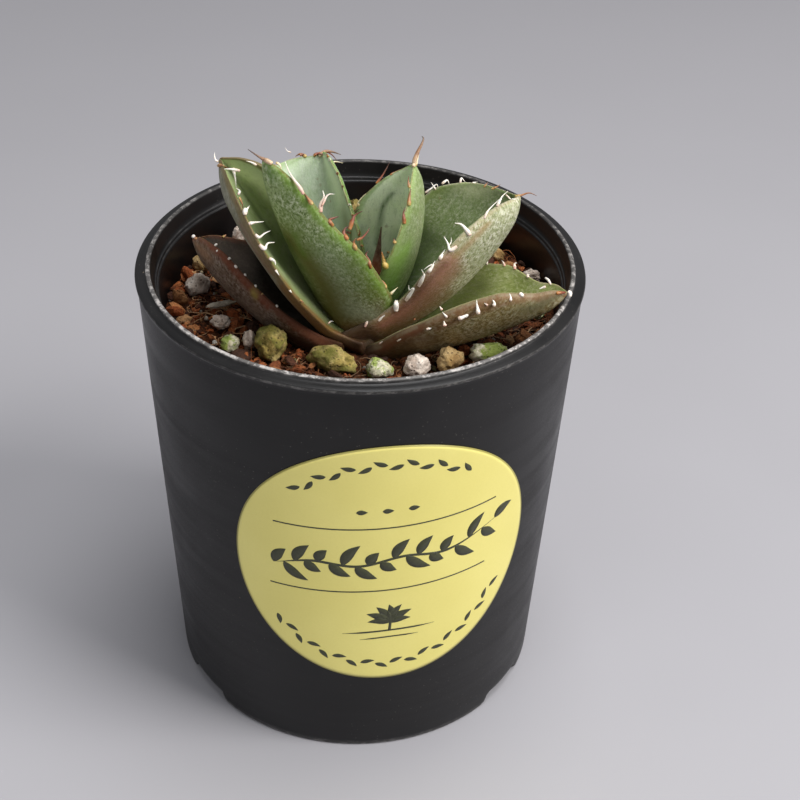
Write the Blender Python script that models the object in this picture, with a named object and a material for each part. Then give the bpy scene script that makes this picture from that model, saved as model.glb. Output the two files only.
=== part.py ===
"""Small agave in a black nursery pot with a round sticker, potting mix and loose stones.

Lengths are in millimetres until a mesh is made, then metres. +Z is up, the pot's axis is the
Z axis, the feet stand on z = 0 and the sticker faces -Y.
"""
import math

import bmesh
import bpy
import numpy as np
from mathutils import Vector, noise
from mathutils.bvhtree import BVHTree

MM = 0.001

# Pot: a No. 3 nursery pot, 90 mm across the rim.
POT_SEGMENTS = 64
FOOT_OUTER_R = 40.4
FOOT_INNER_R = 38.0
WALL_TOP_R = 44.65
RIM_R = 45.0
RIM_Z = 97.7
LIP_OUTER_R = 42.9
LIP_INNER_R = 41.9
LIP_TOP_Z = 98.8
LEDGE_Z = 94.5
INNER_TOP_R = 40.4
INNER_TOP_Z = 94.0
INNER_BOTTOM_R = 36.8
FLOOR_UNDER_Z = 3.4
FLOOR_TOP_Z = 6.0
NOTCH_HEIGHT = 2.8
NOTCH_HALF_DEG = 8.8
NOTCH_CENTRES_DEG = (-143.0, -33.0, 37.0, 147.0)
DRAIN_R = 1.8
DRAIN_RING_R = 24.0
DRAIN_COUNT = 8

# Sticker: a round one wrapped on the tapered wall.
STICKER_R = 31.5
STICKER_Z = 53.4
STICKER_TURN_DEG = -79.7
STICKER_GAP = 0.25
STICKER_THICK = 0.25

# Potting mix and crown.
MIX_GAP = 0.35
MIX_RIM_Z = 86.9
MIX_MIDDLE_Z = 86.0
MIX_RINGS = 8
MIX_SEGMENTS = 40
CROWN_XY = (1.0, -6.0)
CROWN_R = 3.0
CROWN_BOTTOM_Z = 76.0
CROWN_TOP_Z = 86.5

# Leaves, youngest first. Every leaf has the same recipe and its own numbers:
# base     point of its middle line where the sheath begins
# rise     its slope in degrees at the base and at the tip
# azimuth  the way it points, and how far that swings along the leaf
# length   along the middle line
# twist    roll about its own line at the base, and the change along it
# width    half width at the widest place
# fold     how far the left half and the right half fold up, in degrees
# opening  the change of those folds along the leaf
# outline  half width as shares of the widest, at the five stations
# side     share of the width that the left and the right half get
# bowl     1 is a sharp V, 2 is a round U
# thick    at the base and at the tip
# spine    length of the end spine
# sheath   where the base starts to bend inwards, its length beyond the blade, the share of the
#          width left at its end, and the rise and azimuth it ends with
LEAVES = {
    "leaf_upright_right": dict(
        base=(3.8, -2.4, 89.0), rise=(52, 102), azimuth=(30, 2), length=32, twist=(8, -18),
        width=11.7, fold=(54, 50), opening=(-2, 7), outline=(0.60, 0.81, 1.0, 0.92, 0.66),
        side=(1.0, 1.03), bowl=1.6, thick=(2.8, 1.1), spine=6.0,
        sheath=(0, 2, 0.95, 52, 30)),
    "leaf_front_left": dict(
        base=(-0.5, -7.6, 86.9), rise=(57, 74), azimuth=(-152, -2), length=45.3, twist=(-9, 5),
        width=12.4, fold=(33, 43), opening=(-16, -15), outline=(0.60, 0.96, 1.0, 0.72, 0.49),
        side=(0.96, 1.01), bowl=1.6, thick=(3.5, 1.2), spine=4.0,
        sheath=(0, 2.5, 0.95, 57, -152)),
    "leaf_back_left": dict(
        base=(-5.1, 1.2, 86.9), rise=(56, 43), azimuth=(108, -12), length=31.1, twist=(11, 16),
        width=13.8, fold=(50, 38), opening=(13, 5), outline=(0.60, 0.85, 1.0, 1.0, 0.74),
        side=(0.97, 1.10), bowl=1.6, thick=(3.4, 1.4), spine=4.0,
        sheath=(0, 2, 0.95, 56, 108)),
    "leaf_right": dict(
        base=(4.7, -7.0, 87.4), rise=(24, 67), azimuth=(12, 2), length=38.5, twist=(1, 1),
        width=15.1, fold=(47, 46), opening=(5, 5), outline=(0.58, 0.73, 1.0, 0.95, 0.71),
        side=(1.0, 1.09), bowl=1.6, thick=(2.6, 1.7), spine=3.5,
        sheath=(0, 8, 0.85, 20, 12)),
    "leaf_left": dict(
        base=(-4.5, -7.1, 92.6), rise=(55, 50), azimuth=(162, 17), length=42.6, twist=(34, 8),
        width=12.8, fold=(76, 39), opening=(0, 17), outline=(0.40, 0.70, 1.0, 1.10, 0.87),
        side=(0.70, 1.24), bowl=1.9, thick=(4.4, 2.4), spine=2.0,
        sheath=(0.14, 4.5, 0.85, 0, 150)),
    "leaf_low_right": dict(
        base=(15.5, -11.7, 89.2), rise=(16, 32), azimuth=(-12, 8), length=36.4, twist=(-4, 20),
        width=12.0, fold=(39, 45), opening=(9, -1), outline=(0.55, 0.85, 1.0, 0.83, 0.35),
        side=(1.0, 1.05), bowl=1.6, thick=(4.0, 1.9), spine=1.5,
        sheath=(0.25, 7, 0.85, 37, -16)),
    "leaf_low_left": dict(
        base=(-5.0, -10.2, 85.7), rise=(8, 37), azimuth=(161, -15), length=35.7, twist=(2, -28),
        width=11.4, fold=(38, 38), opening=(-6, 6), outline=(0.60, 0.85, 1.0, 0.95, 0.62),
        side=(1.01, 1.03), bowl=1.7, thick=(4.2, 1.3), spine=1.5,
        sheath=(0, 3.5, 0.9, 8, 161)),
}
STATIONS = (0.0, 0.20, 0.45, 0.70, 0.87)
LEAF_ROWS = 13
LEAF_COLUMNS = 7
LEAF_GAP = 0.35

BUD_BASE = (1.6, -4.6, 89.0)
BUD_TIP = (3.9, -3.8, 108.0)
BUD_R = 2.0

# Loose pieces on the mix: centre, size, turn about Z, material.
STONES = {
    "stone_pale_far_left": ((-34.4, 13.6, 88.2), (3.4, 3.4, 4.2), 20, "stone_cream"),
    "stone_pitted": ((-34.2, 4.6, 88.2), (5.4, 4.8, 4.4), 10, "pumice"),
    "bark_left": ((-36.9, -1.2, 88.4), (2.2, 3.0, 4.6), 65, "bark"),
    "stick_left": ((-28.3, -2.7, 88.2), (6.0, 1.3, 1.2), 25, "stick"),
    "stone_small_left": ((-27.8, -8.6, 87.9), (4.2, 3.4, 2.8), -20, "pumice"),
    "stone_mossy_left": ((-25.0, -16.2, 87.8), (3.8, 3.8, 3.6), 0, "stone_green"),
    "stone_pale_left": ((-21.3, -15.4, 88.1), (2.4, 3.0, 4.0), -30, "pumice"),
    "stone_yellow_left": ((-16.8, -16.9, 88.5), (6.2, 7.0, 7.0), 25, "stone_yellow"),
    "stone_yellow_front": ((-4.4, -20.2, 87.6), (9.6, 5.8, 5.4), -12, "stone_yellow"),
    "stone_green_front": ((4.4, -22.6, 87.5), (5.4, 4.6, 4.2), -20, "stone_green"),
    "stone_round_front": ((11.9, -21.4, 87.6), (5.2, 5.0, 4.6), 0, "pumice"),
    "stone_angular_front": ((18.0, -20.2, 88.1), (5.4, 5.0, 5.4), 30, "stone_cream"),
    "stone_long_right": ((25.6, -16.6, 88.3), (7.8, 3.8, 4.4), 22, "stone_green"),
    "stone_green_far_right": ((36.2, -0.9, 87.6), (2.8, 3.4, 2.4), 0, "stone_green"),
    "stone_back_right": ((35.6, 12.5, 88.0), (3.6, 3.4, 3.2), 15, "pumice"),
    "stone_brown_back": ((28.6, 20.6, 88.1), (3.0, 3.2, 3.2), 0, "stone_cream"),
    "bark_back": ((31.2, 17.0, 88.0), (3.0, 1.6, 1.6), -20, "bark"),
    "stone_yellow_back": ((-2.9, 37.2, 89.0), (3.4, 3.0, 4.6), 0, "stone_yellow"),
    "stone_pale_back": ((-27.6, 24.2, 89.0), (3.0, 3.0, 4.2), -40, "pumice"),
}
STONE_CLEARANCE = 0.3

COLOURS = {
    "black_plastic": ((0.028, 0.028, 0.031), 0.45),
    "yellow_paper": ((0.80, 0.74, 0.20), 0.5),
    "potting_mix": ((0.075, 0.035, 0.020), 0.95),
    "crown_skin": ((0.16, 0.12, 0.06), 0.7),
    "leaf_green": ((0.17, 0.27, 0.11), 0.5),
    "leaf_bronze": ((0.12, 0.10, 0.07), 0.5),
    "bud_brown": ((0.12, 0.03, 0.02), 0.5),
    "stone_cream": ((0.50, 0.45, 0.30), 0.9),
    "stone_yellow": ((0.36, 0.31, 0.10), 0.9),
    "stone_green": ((0.42, 0.48, 0.22), 0.9),
    "pumice": ((0.62, 0.58, 0.53), 0.9),
    "bark": ((0.40, 0.19, 0.07), 0.85),
    "stick": ((0.62, 0.56, 0.42), 0.85),
}


def clear_scene():
    for old in list(bpy.data.objects):
        bpy.data.objects.remove(old, do_unlink=True)


def make_material(node, kind):
    colour, rough = COLOURS[kind]
    mat = bpy.data.materials.new(node + "_" + kind)
    mat.use_nodes = True
    shader = mat.node_tree.nodes["Principled BSDF"]
    shader.inputs["Base Color"].default_value = (*colour, 1.0)
    shader.inputs["Roughness"].default_value = rough
    return mat


def add_solid(node, verts, faces, kind, smooth=True):
    mesh = bpy.data.meshes.new(node)
    mesh.from_pydata([tuple(float(c) * MM for c in v) for v in verts], [], faces)
    mesh.validate()
    obj = bpy.data.objects.new(node, mesh)
    bpy.context.scene.collection.objects.link(obj)
    mesh.materials.append(make_material(node, kind))
    for poly in mesh.polygons:
        poly.use_smooth = smooth
    return obj


def carve(obj, cutter):
    """Cut one closed mesh out of another and keep the result as plain geometry."""
    mod = obj.modifiers.new("cut", "BOOLEAN")
    mod.operation = "DIFFERENCE"
    mod.solver = "EXACT"
    mod.object = cutter
    bpy.context.view_layer.update()
    graph = bpy.context.evaluated_depsgraph_get()
    cut = bpy.data.meshes.new_from_object(obj.evaluated_get(graph))
    obj.modifiers.clear()
    obj.data = cut
    bpy.data.objects.remove(cutter, do_unlink=True)


def wall_outer_r(z):
    return FOOT_OUTER_R + (WALL_TOP_R - FOOT_OUTER_R) * z / 97.0


def wall_inner_r(z):
    share = (z - FLOOR_TOP_Z) / (INNER_TOP_Z - FLOOR_TOP_Z)
    return INNER_BOTTOM_R + (INNER_TOP_R - INNER_BOTTOM_R) * share


def pot_angles():
    """Even steps round the pot, with extra ones at the ends of the foot notches."""
    ends = []
    for centre in NOTCH_CENTRES_DEG:
        for side in (-1, 1):
            ends.append((centre + side * (NOTCH_HALF_DEG - 0.9)) % 360)
            ends.append((centre + side * (NOTCH_HALF_DEG + 0.9)) % 360)
    step = 360.0 / POT_SEGMENTS
    even = [i * step for i in range(POT_SEGMENTS)]
    kept = [a for a in even if min(abs((a - e + 180) % 360 - 180) for e in ends) > 1.2]
    return sorted(kept + ends)


def in_notch(angle):
    return min(abs((angle - c + 180) % 360 - 180) for c in NOTCH_CENTRES_DEG) < NOTCH_HALF_DEG


def build_pot():
    profile = [
        (FOOT_INNER_R - 0.4, FLOOR_UNDER_Z),
        (FOOT_INNER_R, 0.0),
        (FOOT_OUTER_R - 0.5, 0.0),
        (FOOT_OUTER_R, 0.6),
        (wall_outer_r(30.0), 30.0),
        (wall_outer_r(60.0), 60.0),
        (WALL_TOP_R, 97.0),
        (RIM_R, 97.25),
        (RIM_R, RIM_Z),
        (RIM_R - 0.4, RIM_Z + 0.3),
        (LIP_OUTER_R, RIM_Z + 0.4),
        (LIP_OUTER_R, LIP_TOP_Z - 0.2),
        (LIP_OUTER_R - 0.2, LIP_TOP_Z),
        (LIP_INNER_R + 0.2, LIP_TOP_Z),
        (LIP_INNER_R, LIP_TOP_Z - 0.25),
        (LIP_INNER_R - 0.7, LEDGE_Z + 1.2),
        (LIP_INNER_R - 1.1, LEDGE_Z + 0.8),
        (LIP_INNER_R - 1.1, LEDGE_Z),
        (INNER_TOP_R, INNER_TOP_Z),
        (INNER_BOTTOM_R + 0.1, FLOOR_TOP_Z + 1.2),
        (INNER_BOTTOM_R - 1.2, FLOOR_TOP_Z),
    ]
    angles = pot_angles()
    count = len(angles)
    verts = []
    for index, (radius, z) in enumerate(profile):
        for angle in angles:
            lift = NOTCH_HEIGHT if index in (1, 2, 3) and in_notch(angle) else 0.0
            turn = math.radians(angle)
            verts.append((radius * math.cos(turn), radius * math.sin(turn), z + lift))
    faces = []
    for ring in range(len(profile) - 1):
        for i in range(count):
            j = (i + 1) % count
            a = ring * count
            b = a + count
            faces.append((a + i, a + j, b + j, b + i))
    under = len(verts)
    verts.append((0.0, 0.0, FLOOR_UNDER_Z))
    over = len(verts)
    verts.append((0.0, 0.0, FLOOR_TOP_Z))
    last = (len(profile) - 1) * count
    for i in range(count):
        j = (i + 1) % count
        faces.append((under, j, i))
        faces.append((over, last + i, last + j))
    pot = add_solid("pot", verts, faces, "black_plastic")
    holes = [(0.0, 0.0)]
    for i in range(DRAIN_COUNT):
        turn = 2 * math.pi * (i + 0.5) / DRAIN_COUNT
        holes.append((DRAIN_RING_R * math.cos(turn), DRAIN_RING_R * math.sin(turn)))
    for x, y in holes:
        carve(pot, round_bar("drain_cutter", (x, y), DRAIN_R, FLOOR_UNDER_Z - 2, FLOOR_TOP_Z + 2, 10))
    return pot


def round_bar(node, centre, radius, z0, z1, sides, top_radius=None):
    top = radius if top_radius is None else top_radius
    verts = []
    for z, r in ((z0, radius), (z1, top)):
        for i in range(sides):
            turn = 2 * math.pi * (i + 0.37) / sides
            verts.append((centre[0] + r * math.cos(turn), centre[1] + r * math.sin(turn), z))
    faces = [tuple(reversed(range(sides))), tuple(range(sides, 2 * sides))]
    for i in range(sides):
        j = (i + 1) % sides
        faces.append((i, j, sides + j, sides + i))
    return add_solid(node, verts, faces, "crown_skin")


def build_sticker():
    """A disc laid out flat as (along the wall, up) and wrapped on the cone."""
    rings = 6
    sides = 36
    flat = [(0.0, 0.0)]
    for ring in range(1, rings + 1):
        for i in range(sides):
            turn = 2 * math.pi * i / sides
            r = STICKER_R * ring / rings
            flat.append((r * math.cos(turn), r * math.sin(turn)))
    verts = []
    for lift in (STICKER_GAP + STICKER_THICK, STICKER_GAP):
        for u, v in flat:
            z = STICKER_Z + v
            radius = wall_outer_r(z)
            turn = math.radians(STICKER_TURN_DEG) + u / radius
            verts.append(((radius + lift) * math.cos(turn), (radius + lift) * math.sin(turn), z))
    half = len(flat)
    faces = []
    for i in range(sides):
        j = (i + 1) % sides
        faces.append((0, 1 + i, 1 + j))
        faces.append((half, half + 1 + j, half + 1 + i))
        for ring in range(rings - 1):
            a = 1 + ring * sides
            b = a + sides
            faces.append((a + i, b + i, b + j, a + j))
            faces.append((half + a + i, half + a + j, half + b + j, half + b + i))
        edge = 1 + (rings - 1) * sides
        faces.append((edge + i, half + edge + i, half + edge + j, edge + j))
    return add_solid("sticker", verts, faces, "yellow_paper")


def smooth_curve(xs, ys, at):
    """Monotone cubic through the stations, so the outline never overshoots."""
    xs = np.asarray(xs, float)
    ys = np.asarray(ys, float)
    step = np.diff(xs)
    slope = np.diff(ys) / step
    tangent = np.zeros(len(xs))
    for i in range(1, len(xs) - 1):
        if slope[i - 1] * slope[i] > 0:
            w1 = 2 * step[i] + step[i - 1]
            w2 = step[i] + 2 * step[i - 1]
            tangent[i] = (w1 + w2) / (w1 / slope[i - 1] + w2 / slope[i])
    tangent[0] = slope[0]
    tangent[-1] = slope[-1]
    k = np.clip(np.searchsorted(xs, at, side="right") - 1, 0, len(step) - 1)
    t = (at - xs[k]) / step[k]
    h = step[k]
    return ((2 * t ** 3 - 3 * t ** 2 + 1) * ys[k] + (t ** 3 - 2 * t ** 2 + t) * h * tangent[k]
            + (3 * t ** 2 - 2 * t ** 3) * ys[k + 1] + (t ** 3 - t ** 2) * h * tangent[k + 1])


def leaf_sheets(leaf, rows, columns):
    """Inner face, outer face and outward normal of a channelled leaf, as row x column grids."""
    start, sheath, narrow, low_rise, low_azimuth = leaf["sheath"]
    end = -sheath / leaf["length"]
    t = end + (1 - end) * np.linspace(0.0, 1.0, rows) ** 0.9
    held = np.clip(t, start, None)
    bend = np.clip((start - t) / (start - end), 0, 1)
    rise = leaf["rise"][0] + (leaf["rise"][1] - leaf["rise"][0]) * held
    head = leaf["azimuth"][0] + leaf["azimuth"][1] * held
    rise = np.radians(rise + (low_rise - rise) * bend)
    head = np.radians(head + (low_azimuth - head) * bend)
    along = np.stack([np.cos(rise) * np.cos(head), np.cos(rise) * np.sin(head), np.sin(rise)], 1)
    up = np.stack([-np.sin(rise) * np.cos(head), -np.sin(rise) * np.sin(head), np.cos(rise)], 1)
    side = np.cross(up, along)
    steps = leaf["length"] * np.diff(t)[:, None] * (along[1:] + along[:-1]) / 2
    middle = np.concatenate([np.zeros((1, 3)), np.cumsum(steps, axis=0)])
    at_start = np.array([np.interp(start, t, middle[:, k]) for k in range(3)])
    middle += np.array(leaf["base"]) - at_start
    blade = np.clip(t, 0, None)
    roll = np.radians(leaf["twist"][0] + leaf["twist"][1] * blade)[:, None]
    up, side = up * np.cos(roll) + side * np.sin(roll), side * np.cos(roll) - up * np.sin(roll)
    shares = list(leaf["outline"]) + [leaf["outline"][-1] * 0.55, 0.03]
    half = leaf["width"] * smooth_curve(list(STATIONS) + [0.96, 1.0], shares, blade)
    half *= 1 - (1 - narrow) * np.clip(t / end, 0, 1)
    s = np.linspace(-1.0, 1.0, columns)
    left = s < 0
    fold_left = leaf["fold"][0] + leaf["opening"][0] * blade
    fold_right = leaf["fold"][1] + leaf["opening"][1] * blade
    fold = np.radians(np.where(left[None, :], fold_left[:, None], fold_right[:, None]))
    share = np.where(left, leaf["side"][0], leaf["side"][1])[None, :]
    a = np.abs(s)[None, :]
    reach = half[:, None] * share
    out = np.sign(s)[None, :] * a * np.cos(fold) * reach
    lift = a ** leaf["bowl"] * np.sin(fold) * reach
    inner = middle[:, None, :] + out[..., None] * side[:, None, :] + lift[..., None] * up[:, None, :]
    lean = np.tan(fold) * leaf["bowl"] * a ** (leaf["bowl"] - 1) * np.sign(s)[None, :]
    size = np.sqrt(1 + lean ** 2)
    normal = (-lean / size)[..., None] * side[:, None, :] + (1 / size)[..., None] * up[:, None, :]
    thick = (leaf["thick"][0] * (1 - blade) + leaf["thick"][1] * blade)[:, None]
    thick = thick * (0.16 + 0.84 * np.sqrt(np.clip(1 - a ** 2, 0, 1)))
    thick = thick * (1 - 0.75 * np.clip((t - 0.85) / 0.15, 0, 1) ** 2)[:, None]
    return inner, inner - normal * thick[..., None], along[-1]


def swollen(verts, faces, grow):
    """The same closed skin moved outward, used to cut a small gap round a piece."""
    points = np.array([tuple(v) for v in verts], float)
    normals = np.zeros_like(points)
    for face in faces:
        corners = points[list(face)]
        spin = np.zeros(3)
        for k in range(1, len(face) - 1):
            spin += np.cross(corners[k] - corners[0], corners[k + 1] - corners[0])
        for k in face:
            normals[k] += spin
    normals /= np.linalg.norm(normals, axis=1, keepdims=True) + 1e-12
    return points + normals * grow


def keep_largest(obj):
    """Drop the crumbs a cut leaves behind, so the piece stays one body."""
    work = bmesh.new()
    work.from_mesh(obj.data)
    bmesh.ops.triangulate(work, faces=work.faces)
    left = set(work.faces)
    islands = []
    while left:
        stack = [next(iter(left))]
        island = set(stack)
        while stack:
            for edge in stack.pop().edges:
                for face in edge.link_faces if len(edge.link_faces) == 2 else ():
                    if face not in island:
                        island.add(face)
                        stack.append(face)
        left -= island
        islands.append(island)
    largest = max(islands, key=lambda island: sum(face.calc_area() for face in island))
    loose = [face for island in islands if island is not largest for face in island]
    bmesh.ops.delete(work, geom=loose, context="FACES")
    work.to_mesh(obj.data)
    work.free()


def touches(verts, faces, other):
    mine = tree_of(verts, faces)
    return bool(mine.overlap(tree_of(*other)))


def leaf_mesh(inner, outer, spine_dir, spine_length):
    """Closed skin over both sheets, capped at the base and drawn out to a spine at the tip."""
    rows, columns = inner.shape[:2]
    loop = 2 * columns
    verts = []
    for i in range(rows):
        verts.extend(inner[i])
        verts.extend(outer[i][::-1])
    centre = (inner[-1].mean(0) + outer[-1].mean(0)) / 2
    last = np.array(verts[-loop:])
    verts.extend(centre + (last - centre) * 0.55 + spine_dir * spine_length * 0.45)
    rows += 1
    tip = len(verts)
    verts.append(centre + spine_dir * spine_length)
    faces = [(loop - 1 - j, j, j + 1, loop - 2 - j) for j in range(columns - 1)]
    for i in range(rows - 1):
        for j in range(loop):
            k = (j + 1) % loop
            a = i * loop
            b = a + loop
            faces.append((a + j, b + j, b + k, a + k))
    end = (rows - 1) * loop
    for j in range(loop):
        k = (j + 1) % loop
        faces.append((end + j, tip, end + k))
    return verts, faces


def tree_of(verts, faces):
    return BVHTree.FromPolygons([Vector(v) for v in verts], faces)


def build_bud():
    """The youngest leaf, still rolled, ending in a long dark spine."""
    sides = 10
    base = np.array(BUD_BASE)
    axis = np.array(BUD_TIP) - base
    verts = []
    stations = ((0.0, 0.75), (0.2, 1.0), (0.4, 0.9), (0.58, 0.62), (0.68, 0.32), (0.85, 0.15))
    for share, scale in stations:
        for i in range(sides):
            turn = 2 * math.pi * i / sides
            ring = np.array([math.cos(turn), 0.85 * math.sin(turn), 0.0]) * BUD_R * scale
            verts.append(base + axis * share + ring)
    tip = len(verts)
    verts.append(base + axis)
    foot = len(verts)
    verts.append(base)
    faces = []
    for ring in range(len(stations) - 1):
        for i in range(sides):
            j = (i + 1) % sides
            a = ring * sides
            b = a + sides
            faces.append((a + i, a + j, b + j, b + i))
    end = (len(stations) - 1) * sides
    for i in range(sides):
        j = (i + 1) % sides
        faces.append((end + i, end + j, tip))
        faces.append((j, i, foot))
    add_solid("bud", verts, faces, "bud_brown")
    return verts, faces


def solid_data(obj):
    return ([v.co / MM for v in obj.data.vertices], [tuple(p.vertices) for p in obj.data.polygons])


def build_plant():
    """Crown, bud and leaves; each older leaf is cut back where younger ones grow through it."""
    crown = round_bar("crown", CROWN_XY, CROWN_R, CROWN_BOTTOM_Z, CROWN_TOP_Z, 16, CROWN_R * 0.8)
    placed = [solid_data(crown), build_bud()]
    for node, leaf in LEAVES.items():
        inner, outer, ahead = leaf_sheets(leaf, LEAF_ROWS, LEAF_COLUMNS)
        verts, faces = leaf_mesh(inner, outer, ahead, leaf["spine"])
        kind = "leaf_bronze" if node == "leaf_low_left" else "leaf_green"
        obj = add_solid(node, verts, faces, kind)
        for other in placed:
            grown = swollen(other[0], other[1], LEAF_GAP)
            if touches(verts, faces, (grown, other[1])):
                carve(obj, add_solid("younger_cutter", grown, other[1], kind))
        keep_largest(obj)
        placed.append((verts, faces))
    return placed


def stone_shape(centre, size, turn_deg, seed, grow=0.0):
    """A lumpy pebble; grow makes the slightly bigger copy that hollows its bed in the mix."""
    ball, ball_faces = ball_grid(9, 5)
    turn = math.radians(turn_deg)
    verts = []
    for point in ball:
        bump = 1.0 + 0.16 * noise.noise(Vector(point) * 1.7 + Vector((seed * 3.1, seed, 0.0)))
        local = [point[i] * (size[i] / 2 * bump + grow) for i in range(3)]
        x = local[0] * math.cos(turn) - local[1] * math.sin(turn)
        y = local[0] * math.sin(turn) + local[1] * math.cos(turn)
        verts.append((centre[0] + x, centre[1] + y, centre[2] + local[2]))
    return verts, ball_faces


def ball_grid(sides, rings):
    points = [(0.0, 0.0, -1.0)]
    for ring in range(1, rings):
        tilt = math.pi * ring / rings
        for i in range(sides):
            turn = 2 * math.pi * (i + 0.5 * (ring % 2)) / sides
            points.append((math.sin(tilt) * math.cos(turn), math.sin(tilt) * math.sin(turn),
                           -math.cos(tilt)))
    points.append((0.0, 0.0, 1.0))
    top = len(points) - 1
    faces = []
    for i in range(sides):
        j = (i + 1) % sides
        faces.append((0, 1 + j, 1 + i))
        for ring in range(rings - 2):
            a = 1 + ring * sides
            b = a + sides
            faces.append((a + i, a + j, b + j, b + i))
        end = 1 + (rings - 2) * sides
        faces.append((end + i, end + j, top))
    return points, faces


def build_mix():
    """Round plug of mix whose top dips under the leaves, with beds for the stones and crown."""
    radii = [38.9 * (k + 1) / MIX_RINGS for k in range(MIX_RINGS)]
    verts = [(0.0, 0.0, 0.0)]
    for radius in radii:
        for i in range(MIX_SEGMENTS):
            turn = 2 * math.pi * i / MIX_SEGMENTS
            verts.append((radius * math.cos(turn), radius * math.sin(turn), 0.0))
    tops = []
    for x, y, _ in verts:
        rim_share = min(1.0, math.hypot(x, y) / 38.0) ** 2
        z = MIX_MIDDLE_Z + (MIX_RIM_Z - MIX_MIDDLE_Z) * rim_share
        z += 0.5 * noise.noise(Vector((x * 0.22, y * 0.22, 4.0)))
        tops.append((x, y, z))
    skirt = MIX_SEGMENTS
    rim_z = tops[-1][2]
    outer = wall_inner_r(rim_z - 0.8) - MIX_GAP
    lower = wall_inner_r(FLOOR_TOP_Z + 1.5) - MIX_GAP
    floor = FLOOR_TOP_Z + MIX_GAP
    verts = list(tops)
    for radius, z in ((outer, MIX_RIM_Z - 0.8), (lower, FLOOR_TOP_Z + 1.6), (lower - 1.5, floor)):
        for i in range(skirt):
            turn = 2 * math.pi * i / skirt
            verts.append((radius * math.cos(turn), radius * math.sin(turn), z))
    foot = len(verts)
    verts.append((0.0, 0.0, floor))
    faces = []
    for i in range(skirt):
        j = (i + 1) % skirt
        faces.append((0, 1 + i, 1 + j))
        for ring in range(MIX_RINGS + 2):
            a = 1 + ring * skirt
            b = a + skirt
            faces.append((a + i, b + i, b + j, a + j))
        end = 1 + (MIX_RINGS + 2) * skirt
        faces.append((foot, end + j, end + i))
    return add_solid("potting_mix", verts, faces, "potting_mix")


def main():
    clear_scene()
    build_pot()
    build_sticker()
    plant = build_plant()
    mix = build_mix()
    for verts, faces in plant:
        carve(mix, add_solid("bed_cutter", swollen(verts, faces, LEAF_GAP), faces, "crown_skin"))
    for seed, (node, spec) in enumerate(STONES.items()):
        centre, size, turn, kind = spec
        verts, faces = stone_shape(centre, size, turn, seed, STONE_CLEARANCE)
        carve(mix, add_solid("bed_cutter", verts, faces, kind))
        verts, faces = stone_shape(centre, size, turn, seed)
        add_solid(node, verts, faces, kind)
    keep_largest(mix)
    mix.data.materials.clear()
    mix.data.materials.append(make_material("potting_mix", "potting_mix"))


main()
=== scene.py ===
"""The looks of a small potted agave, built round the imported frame.

Lengths are millimetres until a mesh is made. +Z is up along the pot's axis and the sticker
faces -Y. Leaf numbers repeat the CAD part's, because this script can't read that file.
"""

import math

import bmesh
import bpy
import numpy as np
from mathutils import Matrix, Vector, noise
from mathutils.bvhtree import BVHTree


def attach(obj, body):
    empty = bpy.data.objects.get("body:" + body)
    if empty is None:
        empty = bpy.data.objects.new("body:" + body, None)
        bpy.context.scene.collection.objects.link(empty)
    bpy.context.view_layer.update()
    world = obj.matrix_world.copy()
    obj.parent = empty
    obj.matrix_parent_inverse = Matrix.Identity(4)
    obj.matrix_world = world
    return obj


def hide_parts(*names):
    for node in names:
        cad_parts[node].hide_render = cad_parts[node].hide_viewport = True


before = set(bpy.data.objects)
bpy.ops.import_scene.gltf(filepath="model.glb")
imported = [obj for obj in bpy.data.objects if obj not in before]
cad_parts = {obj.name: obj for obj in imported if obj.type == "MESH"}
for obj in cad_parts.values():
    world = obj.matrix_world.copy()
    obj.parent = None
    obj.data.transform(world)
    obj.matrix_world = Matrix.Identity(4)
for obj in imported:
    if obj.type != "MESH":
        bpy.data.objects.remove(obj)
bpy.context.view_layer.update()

MM = 0.001
RNG = np.random.default_rng(11)
TEETH_RNG = np.random.default_rng(23)

# ------------------------------------------------------------------ pot, sticker and mix sizes
FOOT_R = 40.4
WALL_TOP_R = 44.65
WALL_TOP_Z = 97.0
FLOOR_TOP_Z = 6.0
FLOOR_BOTTOM_Z = 3.4
NOTCH_CENTRES_DEG = (-143.0, -33.0, 37.0, 147.0)
NOTCH_HALF_DEG = 8.8
NOTCH_HEIGHT = 2.8
DRAIN_R = 1.8
DRAIN_RING_R = 24.0
STICKER_R = 31.5
STICKER_Z = 53.4
STICKER_TURN_DEG = -79.7
MIX_R = 39.9
MIX_RIM_Z = 86.9
MIX_MIDDLE_Z = 86.0

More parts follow.
